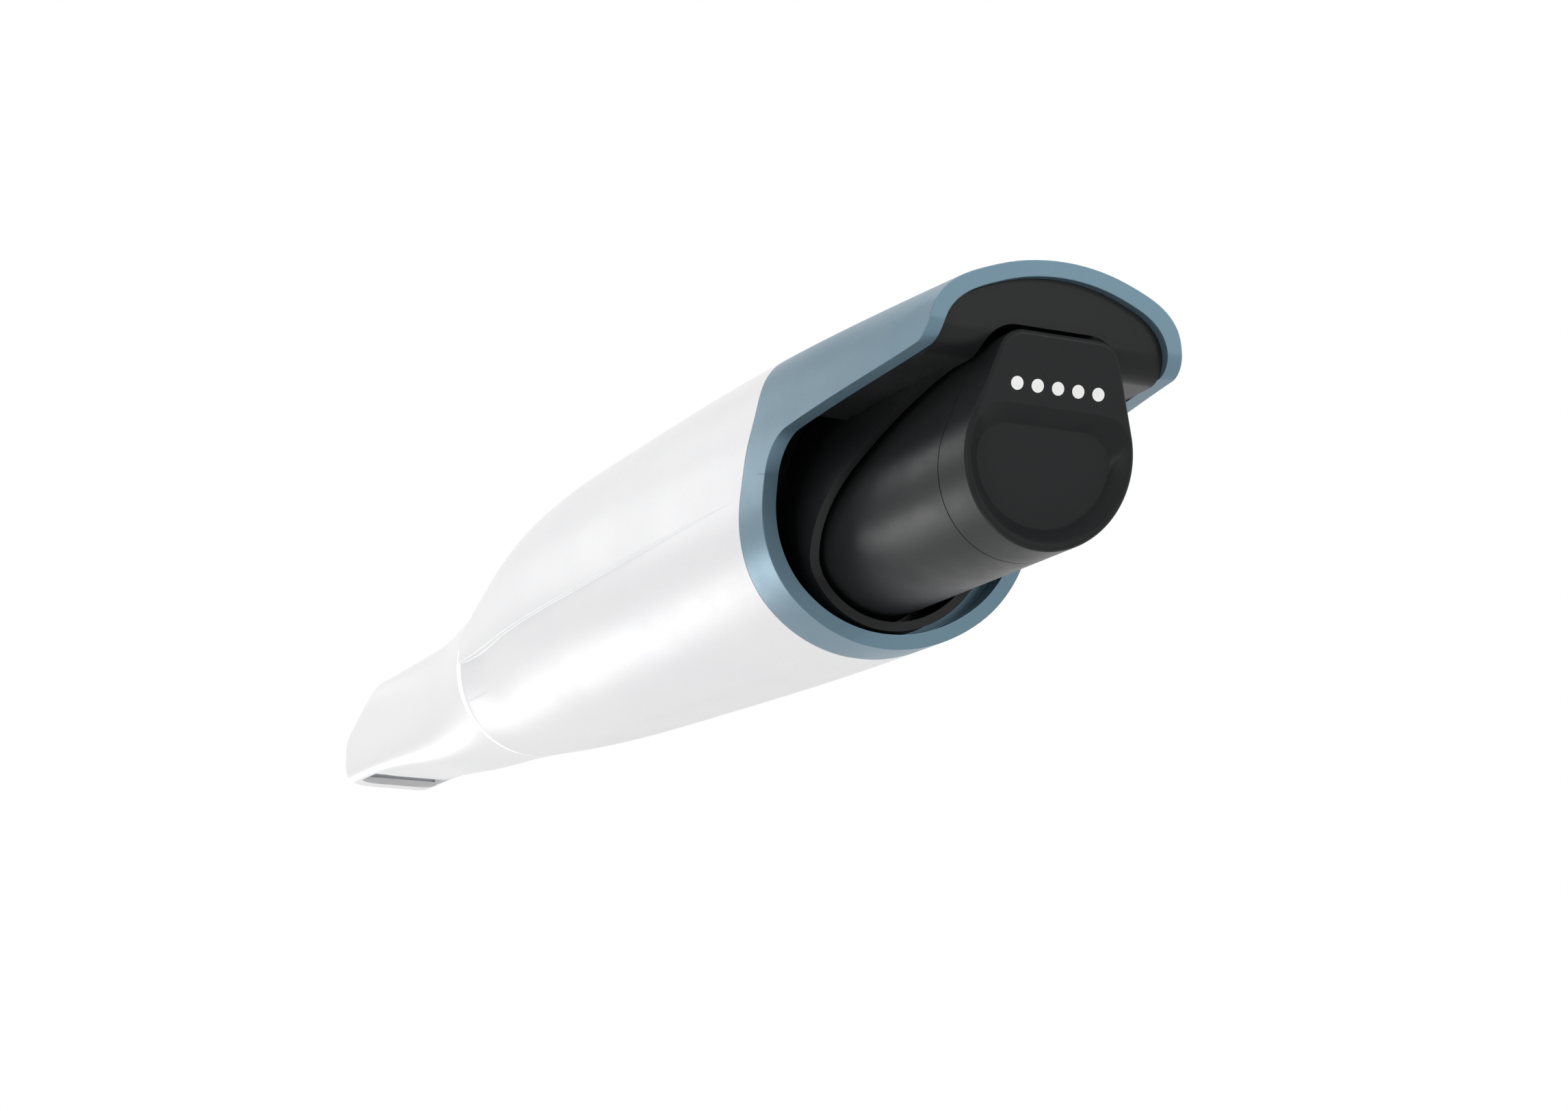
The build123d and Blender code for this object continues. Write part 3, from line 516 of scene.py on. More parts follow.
@dataclass(frozen=True)
class Finish(Look):
    """A finish: two close tones, a grain, and the shine of the surface.

    Grain, drift and depth are in millimetres. Depth is the height of the grain.
    """

    tone: Colour
    shade: Colour
    smooth: float
    rough: float
    grain: float
    depth: float
    drift: float = 28.0
    metal: float = 0.0
    coat: float = 0.0
    coat_rough: float = 0.1
    gloss: float = 0.5
    glow: float = 0.0
    machined: bool = False

    def wire(self, tree: Tree) -> None:
        """Build the finish's shader from its shared group."""
        tree.nodes.clear()
        graph = Graph(tree)
        values = {
            "Vector": graph.add("TexCoord").outputs["Object"], "Tone": self.tone,
            "Shade": self.shade, "Smooth": self.smooth, "Rough": self.rough,
        }
        fine = 1 / (self.grain * MM)
        if self.machined:
            values["Lines"] = fine
        else:
            values |= {"Grain": fine, "Drift": 1 / (self.drift * MM)}
        group = graph.add("Group", node_tree=MACHINING if self.machined else MOULDING)
        for key, value in values.items():
            graph.feed(group.inputs[key], value)
        bump = graph.add("Bump", {
            "Height": group.outputs["Height"], "Strength": 1.0, "Distance": self.depth * MM,
        })
        shader = graph.add("BsdfPrincipled", {
            "Base Color": group.outputs["Colour"], "Roughness": group.outputs["Roughness"],
            "Normal": bump.outputs["Normal"], "Metallic": self.metal, "Coat Weight": self.coat,
            "Coat Roughness": self.coat_rough, "Specular IOR Level": self.gloss,
        })
        if self.glow:
            graph.feed(shader.inputs["Emission Color"], group.outputs["Colour"])
            graph.feed(shader.inputs["Emission Strength"], self.glow)
        graph.feed(graph.add("OutputMaterial").inputs["Surface"], shader.outputs["BSDF"])


@dataclass(frozen=True)
class Glass(Look):
    """Clear optical glass with a faint coating."""

    tint: Colour
    rough: float = 0.02
    haze: float = 160.0
    dull: float = 0.94
    bending: float = 1.5

    def wire(self, tree: Tree) -> None:
        """Turn the new material's shader into glass."""
        graph = Graph(tree)
        shader = tree.nodes["Principled BSDF"]
        place = graph.add("TexCoord").outputs["Object"]
        haze = graph.noise(place, self.haze, detail=3.0, roughness=0.6)
        shade = tuple(self.dull * part for part in self.tint)
        for key, value in {
            "Base Color": graph.blend(haze, self.tint, shade),
            "Roughness": graph.spread(haze, 0.3, 0.8, self.rough, 3 * self.rough),
            "Transmission Weight": 1.0, "IOR": self.bending, "Metallic": 0.0,
        }.items():
            graph.feed(shader.inputs[key], value)


FINISHES = {
    "collar_metal": Finish(
        "Anodised Blue Grey", srgb(107, 135, 150), srgb(98, 125, 140),
        smooth=0.34, rough=0.44, grain=0.16, drift=40.0, depth=0.0035, metal=0.55,
    ),
    "shell_white": Finish(
        "White Shell", srgb(240, 240, 241), srgb(235, 235, 237),
        smooth=0.3, rough=0.4, grain=0.5, drift=45.0, depth=0.002, gloss=0.3,
    ),
    "tip_white": Finish(
        "White Tip", srgb(243, 243, 243), srgb(239, 239, 240),
        smooth=0.28, rough=0.36, grain=0.5, drift=45.0, depth=0.001, gloss=0.3,
    ),
    "ring_diffuser": Finish(
        "Diffuser White", srgb(255, 255, 255), srgb(250, 251, 253),
        smooth=0.4, rough=0.5, grain=0.4, drift=20.0, depth=0.001, glow=0.55,
    ),
    "button_grey": Finish(
        "Button Grey", srgb(176, 180, 184), srgb(170, 174, 178),
        smooth=0.34, rough=0.44, grain=0.35, drift=9.0, depth=0.004,
    ),
    "bay_black": Finish(
        "Bay Black", srgb(28, 29, 30), srgb(25, 26, 27),
        smooth=0.3, rough=0.42, grain=0.28, drift=22.0, depth=0.003, gloss=0.22,
    ),
    "battery_black": Finish(
        "Battery Black", srgb(34, 35, 36), srgb(31, 32, 33),
        smooth=0.32, rough=0.42, grain=0.26, drift=26.0, depth=0.003, gloss=0.14,
    ),
    "contact_silver": Finish(
        "Contact Silver", srgb(250, 250, 250), srgb(240, 240, 238),
        smooth=0.25, rough=0.35, grain=0.1, drift=3.0, depth=0.001, metal=0.2,
    ),
    "mirror_silver": Finish(
        "Mirror Silver", srgb(240, 242, 244), srgb(236, 239, 242),
        smooth=0.02, rough=0.05, grain=0.5, drift=10.0, depth=0.0, metal=1.0,
    ),
    "contact_gold": Finish(
        "Contact Gold", srgb(226, 184, 104), srgb(210, 168, 92),
        smooth=0.2, rough=0.35, grain=0.2, depth=0.001, metal=1.0, machined=True,
    ),
    "cell_wrap": Finish(
        "Cell Wrap", srgb(52, 96, 150), srgb(46, 88, 140),
        smooth=0.25, rough=0.4, grain=1.2, drift=12.0, depth=0.01, coat=0.4,
    ),
    "circuit_board": Finish(
        "Board Mask", srgb(28, 84, 58), srgb(22, 74, 50),
        smooth=0.25, rough=0.4, grain=0.6, drift=9.0, depth=0.004, coat=0.5,
    ),
    "switch_black": Finish(
        "Switch Black", srgb(30, 30, 31), srgb(26, 26, 27),
        smooth=0.4, rough=0.55, grain=0.3, drift=6.0, depth=0.004,
    ),
    "nose_metal": Finish(
        "Nose Metal", srgb(192, 195, 198), srgb(180, 184, 188),
        smooth=0.22, rough=0.36, grain=0.3, depth=0.001, metal=1.0, machined=True,
    ),
    "lens_glass": Glass("Coated Glass", srgb(232, 240, 246)),
    "seal_rubber": Finish(
        "Seal Rubber", srgb(42, 43, 45), srgb(38, 39, 41),
        smooth=0.6, rough=0.75, grain=0.3, drift=8.0, depth=0.004,
    ),
    "chassis_metal": Finish(
        "Chassis Metal", srgb(118, 121, 124), srgb(108, 111, 115),
        smooth=0.35, rough=0.5, grain=0.35, drift=16.0, depth=0.004, metal=1.0,
    ),
    "rod_steel": Finish(
        "Rod Steel", srgb(205, 207, 209), srgb(196, 198, 201),
        smooth=0.14, rough=0.26, grain=0.2, depth=0.001, metal=1.0, machined=True,
    ),
    "barrel_black": Finish(
        "Barrel Black", srgb(27, 28, 30), srgb(22, 23, 25),
        smooth=0.4, rough=0.55, grain=0.25, drift=9.0, depth=0.003, metal=0.4,
    ),
    "sensor_dark": Finish(
        "Sensor Dark", srgb(30, 34, 52), srgb(38, 42, 44),
        smooth=0.08, rough=0.16, grain=0.4, drift=5.0, depth=0.001, coat=0.6,
    ),
    "chip_black": Finish(
        "Chip Black", srgb(33, 34, 36), srgb(28, 29, 31),
        smooth=0.5, rough=0.65, grain=0.25, drift=6.0, depth=0.005,
    ),
    "shield_metal": Finish(
        "Shield Metal", srgb(200, 200, 198), srgb(188, 189, 188),
        smooth=0.26, rough=0.4, grain=0.6, drift=9.0, depth=0.003, metal=1.0,
    ),
}


class Lamp(NamedTuple):
    """A soft panel of light: its middle, the point that it faces, its size and its watts."""

    name: str
    place: Point3
    aim: Point3
    size: Point2
    power: float


@dataclass(frozen=True)
class Studio:
    """Plain white surroundings, soft lamps, a one-sided pale floor and the camera, in metres."""

    camera_at: Point3 = (-0.448976, 0.178085, -0.080246)
    right: Point3 = (-0.41284032, -0.91063997, 0.01725435)
    above: Point3 = (-0.19627569, 0.10744901, 0.97464381)
    back: Point3 = (-0.88940358, 0.39898566, -0.22309577)
    lens: float = 71.98
    sensor: float = 36.0
    nearest: float = 0.01
    floor_size: float = 6.0
    floor_tone: float = 0.9
    floor_rough: float = 0.8
    ambient: float = 0.6
    lamps: tuple[Lamp, ...] = (
        Lamp("upper_panel", (0.1, 0.35, 0.75), (0.0, 0.0, 0.02), (0.8, 0.4), 2.2),
        Lamp("front_panel", (0.78, 0.38, 0.27), (-0.12, 0.0, 0.02), (0.3, 0.2), 0.34),
        Lamp("flank_panel", (1.66, 0.6, -0.47), (0.0, 0.0, 0.02), (1.0, 0.34), 5.4),
        Lamp("rear_panel", (-1.55, -0.64, 0.38), (-0.13, 0.0, 0.02), (0.4, 0.3), 4.4),
        Lamp("edge_strip", (-0.49, 0.78, -0.19), (-0.12, 0.0, 0.02), (0.08, 0.3), 0.8),
        Lamp("under_strip", (0.09, 0.3, -0.88), (-0.11, 0.0, 0.02), (0.5, 0.08), 1.5),
    )

    def camera(self) -> None:
        """Set the camera where the photograph was taken."""
        data = bpy.data.cameras.new("camera")
        data.lens = self.lens
        data.sensor_width = self.sensor
        data.clip_start = self.nearest
        camera = bpy.data.objects.new("camera", data)
        turn = Matrix((self.right, self.above, self.back)).transposed().to_4x4()
        camera.matrix_world = Matrix.Translation(self.camera_at) @ turn
        bpy.context.scene.collection.objects.link(camera)
        bpy.context.scene.camera = camera

    def world(self) -> None:
        """White for the eye and for reflections, softer as a light."""
        world = bpy.data.worlds.new("studio")
        bpy.context.scene.world = world
        world.use_nodes = True
        world.node_tree.nodes.clear()
        graph = Graph(world.node_tree)
        path = graph.add("LightPath").outputs
        seen = graph.math("MAXIMUM", path["Is Camera Ray"], path["Is Transmission Ray"])
        seen = graph.math("MAXIMUM", seen, path["Is Glossy Ray"])
        strength = graph.spread(seen, 0.0, 1.0, self.ambient, 1.0)
        background = graph.add("Background", {"Color": (1.0, 1.0, 1.0), "Strength": strength})
        graph.feed(graph.add("OutputWorld").inputs["Surface"], background.outputs["Background"])

    def floor(self) -> None:
        """A pale floor, seen from above, that lets light and sight through from below."""
        Bench.clear()
        bpy.ops.mesh.primitive_plane_add(size=self.floor_size)
        floor = Bench.settle(bpy.context.object, "studio_floor")
        material = bpy.data.materials.new("Studio Floor")
        material.use_nodes = True
        graph = Graph(material.node_tree)
        shader = material.node_tree.nodes["Principled BSDF"]
        graph.feed(shader.inputs["Base Color"], (self.floor_tone,) * 3)
        graph.feed(shader.inputs["Roughness"], self.floor_rough)
        graph.feed(shader.inputs["Specular IOR Level"], 0.0)
        above = graph.math("SUBTRACT", 1.0, graph.add("NewGeometry").outputs["Backfacing"])
        shown = graph.math("MULTIPLY", above, graph.add("LightPath").outputs["Is Camera Ray"])
        clear = graph.add("BsdfTransparent").outputs["BSDF"]
        mixed = graph.add("MixShader", {0: shown, 1: clear, 2: shader.outputs["BSDF"]})
        surface = material.node_tree.nodes["Material Output"].inputs["Surface"]
        graph.feed(surface, mixed.outputs["Shader"])
        floor.data.materials.append(material)

    @staticmethod
    def light(lamp: Lamp) -> None:
        """Hang one lamp."""
        data = bpy.data.lights.new(lamp.name, "AREA")
        data.shape = "RECTANGLE"
        data.size, data.size_y = lamp.size
        data.energy = lamp.power
        panel = bpy.data.objects.new(lamp.name, data)
        turn = (Vector(lamp.aim) - Vector(lamp.place)).to_track_quat("-Z", "Y").to_matrix()
        panel.matrix_world = Matrix.Translation(lamp.place) @ turn.to_4x4()
        bpy.context.scene.collection.objects.link(panel)

    def build(self) -> None:
        """Set up everything around the scanner."""
        self.camera()
        self.world()
        self.floor()
        for lamp in self.lamps:
            self.light(lamp)
        bpy.context.scene.view_settings.view_transform = "Standard"


class Station(NamedTuple):
    """One slanted section of the handle's skin, in millimetres, and how far it is a circle."""

    at: float
    half_width: float
    crown: float
    keel: float
    roundness: float
    ledge: float


@dataclass(frozen=True)
class HandleSkin:
    """The handle's smooth outer skin, from the rim to the neck."""

    stations: tuple[Station, ...] = (
        Station(-7.7, 19.0, 20.2, 18.1, 0.0, 0.0),
        Station(21.3, 19.4, 22.2, 18.6, 0.0, 0.0),
        Station(49.0, 19.7, 23.5, 18.9, 0.0, 0.0),
        Station(110.0, 19.3, 25.2, 17.7, 0.46, 0.5),
        Station(155.0, 17.4, 24.9, 15.8, 0.9, 0.8),
        Station(168.0, 16.0, 22.6, 14.8, 0.98, 1.0),
        Station(178.3, 15.2, 17.6, 13.8, 1.0, 0.4),
    )
    rim_radii: tuple[float, ...] = (
        20.900, 21.006, 21.315, 21.814, 22.554, 22.486, 20.956, 19.937, 19.323, 19.098,
        19.193, 19.253, 19.196, 19.023, 18.751, 18.518, 18.338, 18.234, 18.200,
    )
    rim_half_width: float = 19.1
    rim_crown: float = 20.9
    rim_keel: float = 18.2
    ledge_depth: float = 0.9
    steps: tuple[int, int] = (150, 180)

    def section(self, station: Station, raised: bool) -> np.ndarray:
        """Points round one section, in handle millimetres."""
        radii = np.array(self.rim_radii + self.rim_radii[-2:0:-1])
        angles = np.arange(len(radii)) * math.tau / len(radii)
        side, height = radii * np.sin(angles), radii * np.cos(angles)
        rim_rise = (height + self.rim_keel) / (self.rim_crown + self.rim_keel)
        turned = station.roundness
        side = (1 - turned) * side / self.rim_half_width + turned * np.sin(angles)
        rise = (1 - turned) * rim_rise + turned * (np.cos(angles) + 1) / 2
        width = station.half_width - (0.0 if raised else self.ledge_depth * station.ledge)
        lift = (station.crown + station.keel) * rise - station.keel
        return np.array([SPACE.slanted(station.at, y, z) for y, z in zip(width * side, lift)])

    def curves(self, raised: bool, wanted: np.ndarray, around: int) -> np.ndarray:
        """Closed curves of the skin at the wanted places, by place, place around, and axis."""
        rows = np.array([self.section(station, raised) for station in self.stations])
        finer = np.array([[ring_curve(row[:, axis], around) for axis in range(3)] for row in rows])
        finer = finer.transpose(0, 2, 1)
        places = np.array([station.at for station in self.stations])
        net = spine_curve(places, finer.reshape(len(rows), -1), wanted)
        return net.reshape(len(wanted), around, 3)

    def sheet(self, name: str) -> Piece:
        """The skin as a smooth rolled sheet, without the raised back."""
        wanted = np.linspace(self.stations[0].at, self.stations[-1].at, self.steps[0] + 1)
        net = self.curves(False, wanted, self.steps[1])
        return Bench.net(name, np.concatenate([net, net[:, :1]], 1))


class Mark(NamedTuple):
    """A line along the ledge: its height, and its share of the way in to the flank."""

    height: float
    inward: float


@dataclass(frozen=True)
class Shells:
    """The white upper and lower shells, laid out in strips along the ledge and the parting line.

    All sizes are in millimetres.
    """

    skin: HandleSkin = HandleSkin()
    rear: float = 49.07
    front: float = 178.27
    spare: float = 1.5
    reach: float = 40.0
    wall: float = 2.0
    edge: float = 0.05
    sharp: float = 45.0
    rows: int = 170
    fine: int = 1440
    back_columns: int = 44
    flank_columns: int = 10
    keel_columns: int = 44
    ledge: tuple[Mark, ...] = (
        Mark(0.80, 0.0), Mark(0.66, 0.02), Mark(0.58, 0.09), Mark(0.53, 0.22), Mark(0.50, 0.45),
        Mark(0.48, 0.70), Mark(0.44, 0.88), Mark(0.36, 0.98), Mark(0.24, 1.0),
    )
    parting: float = -5.5
    flat_at: float = 100.0
    flat_height: float = -17.2
    flat_pitch: float = math.radians(1.44)
    button_at: float = 112.0
    hole_length: float = 17.9
    hole_width: float = 11.9
    hole_foot: float = 5.0
    hole_rise: float = 30.0
    hole_sides: int = 48
    posts: tuple[Point2, ...] = ((90.0, -15.2), (151.0, -13.0))
    post_spread: float = 6.0
    post_radius: float = 2.8
    post_top: float = -9.63

    @staticmethod
    def read(half: np.ndarray, spot: float) -> np.ndarray:
        """The point of a half curve at a place between its own points."""
        return np.array([np.interp(spot, np.arange(len(half)), half[:, axis]) for axis in range(3)])

    def strip(self, curve: np.ndarray, start: float, end: float, count: int) -> list[np.ndarray]:
        """Points of one left half curve from one height down to another, the first left out."""
        half = curve[:self.fine // 2 + 1]
        top, bottom = np.interp((-start, -end), -half[:, 2], np.arange(len(half)))
        spots = [top + (bottom - top) * step / count for step in range(1, count + 1)]
        return [self.read(half, spot) for spot in spots]

    def mirrored(self, left: list[np.ndarray]) -> list[np.ndarray]:
        """A run that starts in the middle plane, with its mirror image put before it."""
        flip = np.array([1.0, -1.0, 1.0])
        return [point * flip for point in left[:0:-1]] + left

    def lay(self, name: str, rows: list[list[np.ndarray]]) -> Piece:
        """A sheet through the rows, given its wall and cut to length by its two slanted ends."""
        piece = Bench.net(name + "_moulding", np.array(rows))
        Bench.apply(piece, "SOLIDIFY", thickness=self.wall * MM, offset=-1.0, use_even_offset=False)
        reach = self.reach
        lean = math.tan(SPACE.slant) * reach
        outline = [(self.rear - lean, -reach, reach), (self.front - lean, -reach, reach),
                   (self.front + lean, -reach, -reach), (self.rear + lean, -reach, -reach)]
        length = Bench.bar("shell_length", outline, (0.0, 2 * reach, 0.0))
        return Bench.combine(piece, length, Cut.KEEP)

    def finish(self, piece: Piece, node: str) -> None:
        """Ease a shell's edges, shade and dress it, and let it stand for its CAD node."""
        Bench.ease(piece, self.edge, segments=2, angle=self.sharp)
        Bench.smooth(piece, self.sharp)
        FINISHES["shell_white"].dress(piece)
        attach(piece, Body.HANDLE.value)
        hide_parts(node)
        LOG.info("moulded %s: %d faces", piece.name, len(piece.data.polygons))

    def curves(self, raised: bool) -> np.ndarray:
        """The skin's curves for every row of a shell."""
        wanted = np.linspace(self.rear - self.spare, self.front + self.spare, self.rows + 1)
        return self.skin.curves(raised, wanted, self.fine)

    def upper(self) -> None:
        """The upper shell: the raised back, the ledge, and the flank down to the parting line."""
        backs, flanks = self.curves(True), self.curves(False)
        rows = []
        for back, flank in zip(backs, flanks):
            run = [back[0]] + self.strip(back, back[0][2], self.ledge[0].height, self.back_columns)
            for mark in self.ledge[1:]:
                outer = self.strip(back, mark.height, mark.height, 1)[0]
                inner = self.strip(flank, mark.height, mark.height, 1)[0]
                run.append(outer + (inner - outer) * mark.inward)
            run += self.strip(flank, self.ledge[-1].height, self.parting, self.flank_columns)
            rows.append(self.mirrored(run))
        piece = self.lay("upper_shell", rows)
        Bench.combine(piece, self.button_hole(), Cut.REMOVE)
        self.finish(piece, "upper_shell")

    def button_hole(self) -> Piece:
        """Upright bar of the button's oval outline."""
        radius = self.hole_width / 2
        reach = self.hole_length / 2 - radius
        outline = []
        for step in range(self.hole_sides):
            angle = math.tau * (step + 0.5) / self.hole_sides
            x = self.button_at + math.copysign(reach, math.cos(angle)) + radius * math.cos(angle)
            outline.append((x, radius * math.sin(angle), self.hole_foot))
        return Bench.bar("button_hole", outline, (0.0, 0.0, self.hole_rise))

    def lower(self) -> None:
        """The lower shell, with the narrow flat that it lies on and the chassis posts inside."""
        rows = []
        for flank in self.curves(False):
            left = [flank[self.fine // 2]] + self.keel_run(flank)
            rows.append(self.mirrored([self.rested(point) for point in left]))
        piece = self.lay("lower_shell", rows)
        for place, foot in self.posts:
            for side in (-self.post_spread, self.post_spread):
                ends = (place, side, foot), (place, side, self.post_top)
                Bench.combine(piece, Bench.rod("chassis_post", self.post_radius, *ends), Cut.JOIN)
        self.finish(piece, "lower_shell")

    def keel_run(self, flank: np.ndarray) -> list[np.ndarray]:
        """Points of one half curve from the keel up to the parting line, the first left out."""
        half = flank[self.fine // 2::-1]
        last = np.interp(self.parting, half[:, 2], np.arange(len(half)))
        spots = [last * step / self.keel_columns for step in range(1, self.keel_columns + 1)]
        return [self.read(half, spot) for spot in spots]

    def rested(self, point: np.ndarray) -> np.ndarray:
        """A point of the keel, raised to the flat where it lies below it."""
        flat = self.flat_height + math.tan(self.flat_pitch) * (point[0] - self.flat_at)
        return np.array([point[0], point[1], max(point[2], flat)])


@dataclass(frozen=True)
class TipSkin:
    """The tip's smooth outer skin: round at the neck, sweeping down to a slim rounded square."""

    start: float = 178.9
    neck_radius: float = 15.2
    neck_height: float = 1.4
    places: tuple[float, ...] = (192.0, 208.0, 226.0, 244.0, 265.0)
    half_widths: tuple[float, ...] = (12.6, 10.2, 9.1, 8.9, 8.9)
    tops: tuple[float, ...] = (14.9, 12.6, 10.9, 9.8, 9.8)
    bottoms: tuple[float, ...] = (12.9, 12.0, 10.2, 8.6, 8.6)
    squareness: tuple[float, ...] = (2.1, 2.5, 3.8, 6.0, 6.0)
    fine: int = 7200
    steps: tuple[int, int] = (160, 216)

    def sheet(self, name: str) -> Piece:
        """The tip's skin as a sheet of evenly sized cells."""
        angles = np.arange(self.fine) * math.tau / self.fine
        side, rise = np.sin(angles), np.cos(angles)
        neck = zip(self.neck_radius * side, self.neck_height + self.neck_radius * rise)
        rows = [np.array([SPACE.slanted(self.start, y, z) for y, z in neck])]
        for place, width, top, bottom, square in zip(
                self.places, self.half_widths, self.tops, self.bottoms, self.squareness):
            reach = np.sign(side) * np.abs(side) ** (2 / square)
            lift = np.sign(rise) * np.abs(rise) ** (2 / square)
            height = (top - bottom) / 2 + (top + bottom) / 2 * lift
            rows.append(np.stack([np.full(self.fine, place), width * reach, height], 1))
        places = np.array([self.start, *self.places])
        wanted = np.linspace(places[0], places[-1], self.steps[0] + 1)
        net = spine_curve(places, np.array(rows).reshape(len(rows), -1), wanted)
        rings = net.reshape(len(wanted), self.fine, 3)
        return Bench.net(name, np.array([self.evened(ring) for ring in rings]))

    def evened(self, ring: np.ndarray) -> np.ndarray:
        """A closed section read at even steps of its length, its first point again at the end."""
        closed = np.concatenate([ring, ring[:1]])
        length = np.concatenate([[0.0], np.cumsum(np.linalg.norm(np.diff(closed, axis=0), axis=1))])
        wanted = np.linspace(0.0, length[-1], self.steps[1] + 1)
        return np.stack([np.interp(wanted, length, closed[:, axis]) for axis in range(3)], 1)


@dataclass(frozen=True)
class TipSleeve:
    """The removable tip: its skin trimmed by the end's slope, hollowed, and opened below.

    Sizes are in millimetres, and the angle is in degrees.
    """

    end: float = 264.0
    back: float = 166.3
    slope_start: float = 244.0
    slope_top: float = 9.8
    slope_end: float = 0.2
    bottom: float = -8.65
    end_radius: float = 3.0
    chin_radius: float = 4.0
    ceiling: float = 8.4
    floor: float = -7.2
    hollow_start: float = 189.3
    mirror_foot: float = 260.114
    half_width: float = 7.35
    seat_radius: float = 10.56
    seat_end: float = 190.8
    seat_height: float = 1.368
    seat_sides: int = 96
    window: Point2 = (246.3, 257.9)
    window_inset: float = 0.05
    window_below: float = 2.0
    window_above: float = 0.5
    outside: float = 40.0
    underneath: float = -60.0
    heel_drop: float = 1.0
    sliver: float = 0.01
    edge: float = 0.12
    sharp: float = 34.0

    def across(self, name: str, outline: Sequence[Point2], half_width: float) -> Piece:
        """A bar across the tip, from an outline in its middle plane."""
        corners = [(x, -half_width, z) for x, z in outline]
        return Bench.bar(name, corners, (0.0, 2 * half_width, 0.0))

    def trim(self) -> Piece:
        """The bar that shapes the end: its slope, and the rounded end and chin."""
        slope = (self.slope_top - self.slope_end) / (self.end - self.slope_start)
        top = (self.back, self.slope_top + slope * (self.slope_start - self.back))
        end, chin = (self.end, self.slope_end), (self.end, self.bottom)
        heel = (self.slope_start, self.bottom - self.heel_drop)
        outline = [top, *rounded(top, end, chin, self.end_radius),
                   *rounded(end, chin, heel, self.chin_radius), heel, (self.back, self.underneath)]
        return self.across("tip_trim", outline, self.outside)

    def hollow(self) -> Piece:
        """The tip's tunnel, up to the slope behind the mirror."""
        head = self.mirror_foot - (self.ceiling - self.floor)
        outline = [(self.hollow_start, self.floor), (self.mirror_foot, self.floor),
                   (head, self.ceiling), (self.hollow_start, self.ceiling)]
        return self.across("tip_hollow", outline, self.half_width)

    def seat(self) -> Piece:
        """The round bore that takes the nose."""
        start = (self.back, 0.0, self.seat_height)
        end = (self.seat_end, 0.0, self.seat_height)
        return Bench.rod("tip_seat", self.seat_radius, start, end, self.seat_sides)

    def opening(self) -> Piece:
        """The window's hole in the underside."""
        low, high = self.window
        foot, head = self.bottom - self.window_below, self.floor + self.window_above
        outline = [(low, foot), (high, foot), (high, head), (low, head)]
        return self.across("tip_opening", outline, self.half_width - self.window_inset)

    def build(self) -> None:
        """Make the sleeve, which then stands for its CAD node."""
        piece = TipSkin().sheet("tip_sleeve_moulding")
        skin = TipSkin().sheet("tip_skin")
        Bench.close_tube(piece)
        Bench.combine(piece, self.trim(), Cut.KEEP)
        for waste in (self.hollow, self.seat, self.opening):
            Bench.combine(piece, waste(), Cut.REMOVE)
        Bench.edit(piece, lambda: bpy.ops.mesh.remove_doubles(threshold=self.sliver * MM))
        Bench.ease(piece, self.edge, angle=self.sharp)
        Bench.smooth(piece, self.sharp)
        Bench.follow(piece, skin)
        bpy.data.objects.remove(skin, do_unlink=True)
        FINISHES["tip_white"].dress(piece)
        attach(piece, Body.TIP.value)
        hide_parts("tip_sleeve")
        LOG.info("moulded %s: %d faces", piece.name, len(piece.data.polygons))


def rounded(
    before: Point2, corner: Point2, after: Point2, radius: float, steps: int = 8,
) -> list[Point2]:
    """Points of the arc that rounds a corner of an outline.

    Args:
        before: The outline's point before the corner.
        corner: The corner.
        after: The outline's point after it.
        radius: Radius of the arc.
        steps: Number of chords.

    Returns:
        The points, from one straight side to the other.
    """
    middle = Vector(corner)
    first = (Vector(before) - middle).normalized()
    second = (Vector(after) - middle).normalized()
    half = first.angle(second) / 2
    centre = middle + (first + second).normalized() * radius / math.sin(half)
    start = middle + first * radius / math.tan(half) - centre
    end = middle + second * radius / math.tan(half) - centre
    points = []
    for step in range(steps + 1):
        inside = step not in (0, steps)
        spot = start.slerp(end, step / steps) if inside else (start, end)[step // steps]
        points.append(tuple(centre + spot.normalized() * radius))
    return points


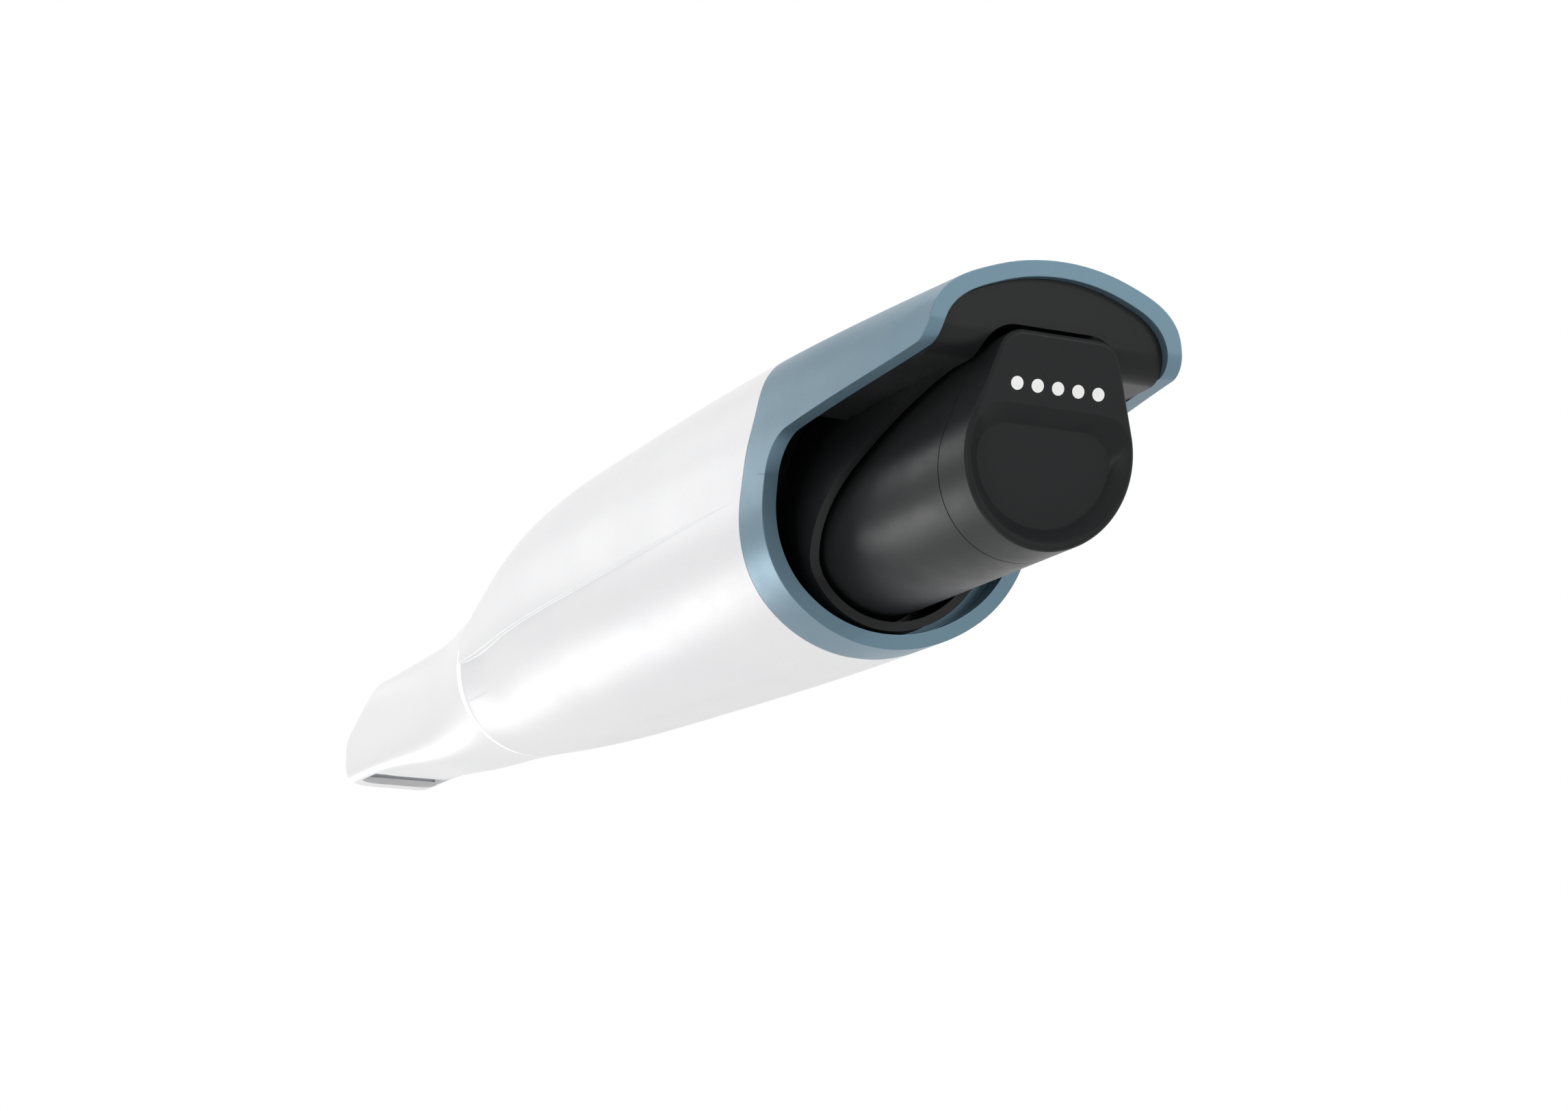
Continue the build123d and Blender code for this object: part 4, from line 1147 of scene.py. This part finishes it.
@dataclass(frozen=True)
class Moulding:
    """An outer piece of the frame, finished with small rounded edges.

    Sizes are in millimetres, and angles in degrees.
    """

    node: str
    body: Body
    edge: float = 0.15
    segments: int = 2
    sharp: float = 32.0
    on_skin: bool = False
    cuts: tuple[Callable[[], Piece], ...] = ()

    def build(self, skin: Piece) -> None:
        """Make the piece, which then stands for its CAD node."""
        slot = frame["nodes"][self.node].data.materials[0].name
        piece = Bench.twin(self.node)
        for cut in self.cuts:
            Bench.combine(piece, cut(), Cut.REMOVE)
        Bench.ease(piece, self.edge, self.segments, self.sharp)
        Bench.smooth(piece, self.sharp)
        if self.on_skin:
            Bench.follow(piece, skin)
        FINISHES[slot].dress(piece)
        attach(piece, self.body.value)
        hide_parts(self.node)
        LOG.info("moulded %s: %d faces", piece.name, len(piece.data.polygons))


@dataclass(frozen=True)
class HoodMouth:
    """Slanted front of the insert under the hood, with its soft lower corner, in millimetres."""

    front: float = 2.6
    underside: float = 8.9
    corner_radius: float = 4.0
    sleeve_start: float = 7.0
    clear: float = 0.02
    reach: float = 40.0

    def waste(self) -> Piece:
        """Everything behind the insert's front and under it, up to the sleeve's lip."""
        reach = self.reach
        lean = math.tan(SPACE.slant)
        level = self.underside - self.clear
        corner = (self.front - lean * self.underside - self.clear, level)
        above = (self.front - lean * reach - self.clear, reach)
        curve = rounded(above, corner, (reach, level), self.corner_radius)
        outline = [(-reach, reach), above, *curve, (self.sleeve_start, level),
                   (self.sleeve_start, -reach), (-reach, -reach)]
        return Bench.bar("hood_waste", [(x, -reach, z) for x, z in outline], (0.0, 2 * reach, 0.0))


MOULDINGS = [
    Moulding("collar", Body.HANDLE, 0.18, on_skin=True),
    Moulding("neck_ring", Body.HANDLE, 0.08),
    Moulding("bay_housing", Body.HANDLE, 0.3, 3, cuts=(HoodMouth().waste,)),
    Moulding("battery_case", Body.BATTERY, 0.1),
    Moulding("battery_end_cap", Body.BATTERY, 0.06, 2, 22.0),
    Moulding("scan_button", Body.BUTTON, 0.25),
    Moulding("button_light_ring", Body.HANDLE, 0.08),
]


def main() -> None:
    """Build the scene in order."""
    Studio().build()
    shells = Shells()
    shells.upper()
    shells.lower()
    TipSleeve().build()
    skin = HandleSkin().sheet("outer_skin")
    for moulding in MOULDINGS:
        moulding.build(skin)
    bpy.data.objects.remove(skin, do_unlink=True)
    for name, node in frame["nodes"].items():
        finish = FINISHES[node.data.materials[0].name]
        finish.dress(node)
        LOG.info("dressed %s with %s", name, finish.name)


if __name__ == "__main__":
    main()
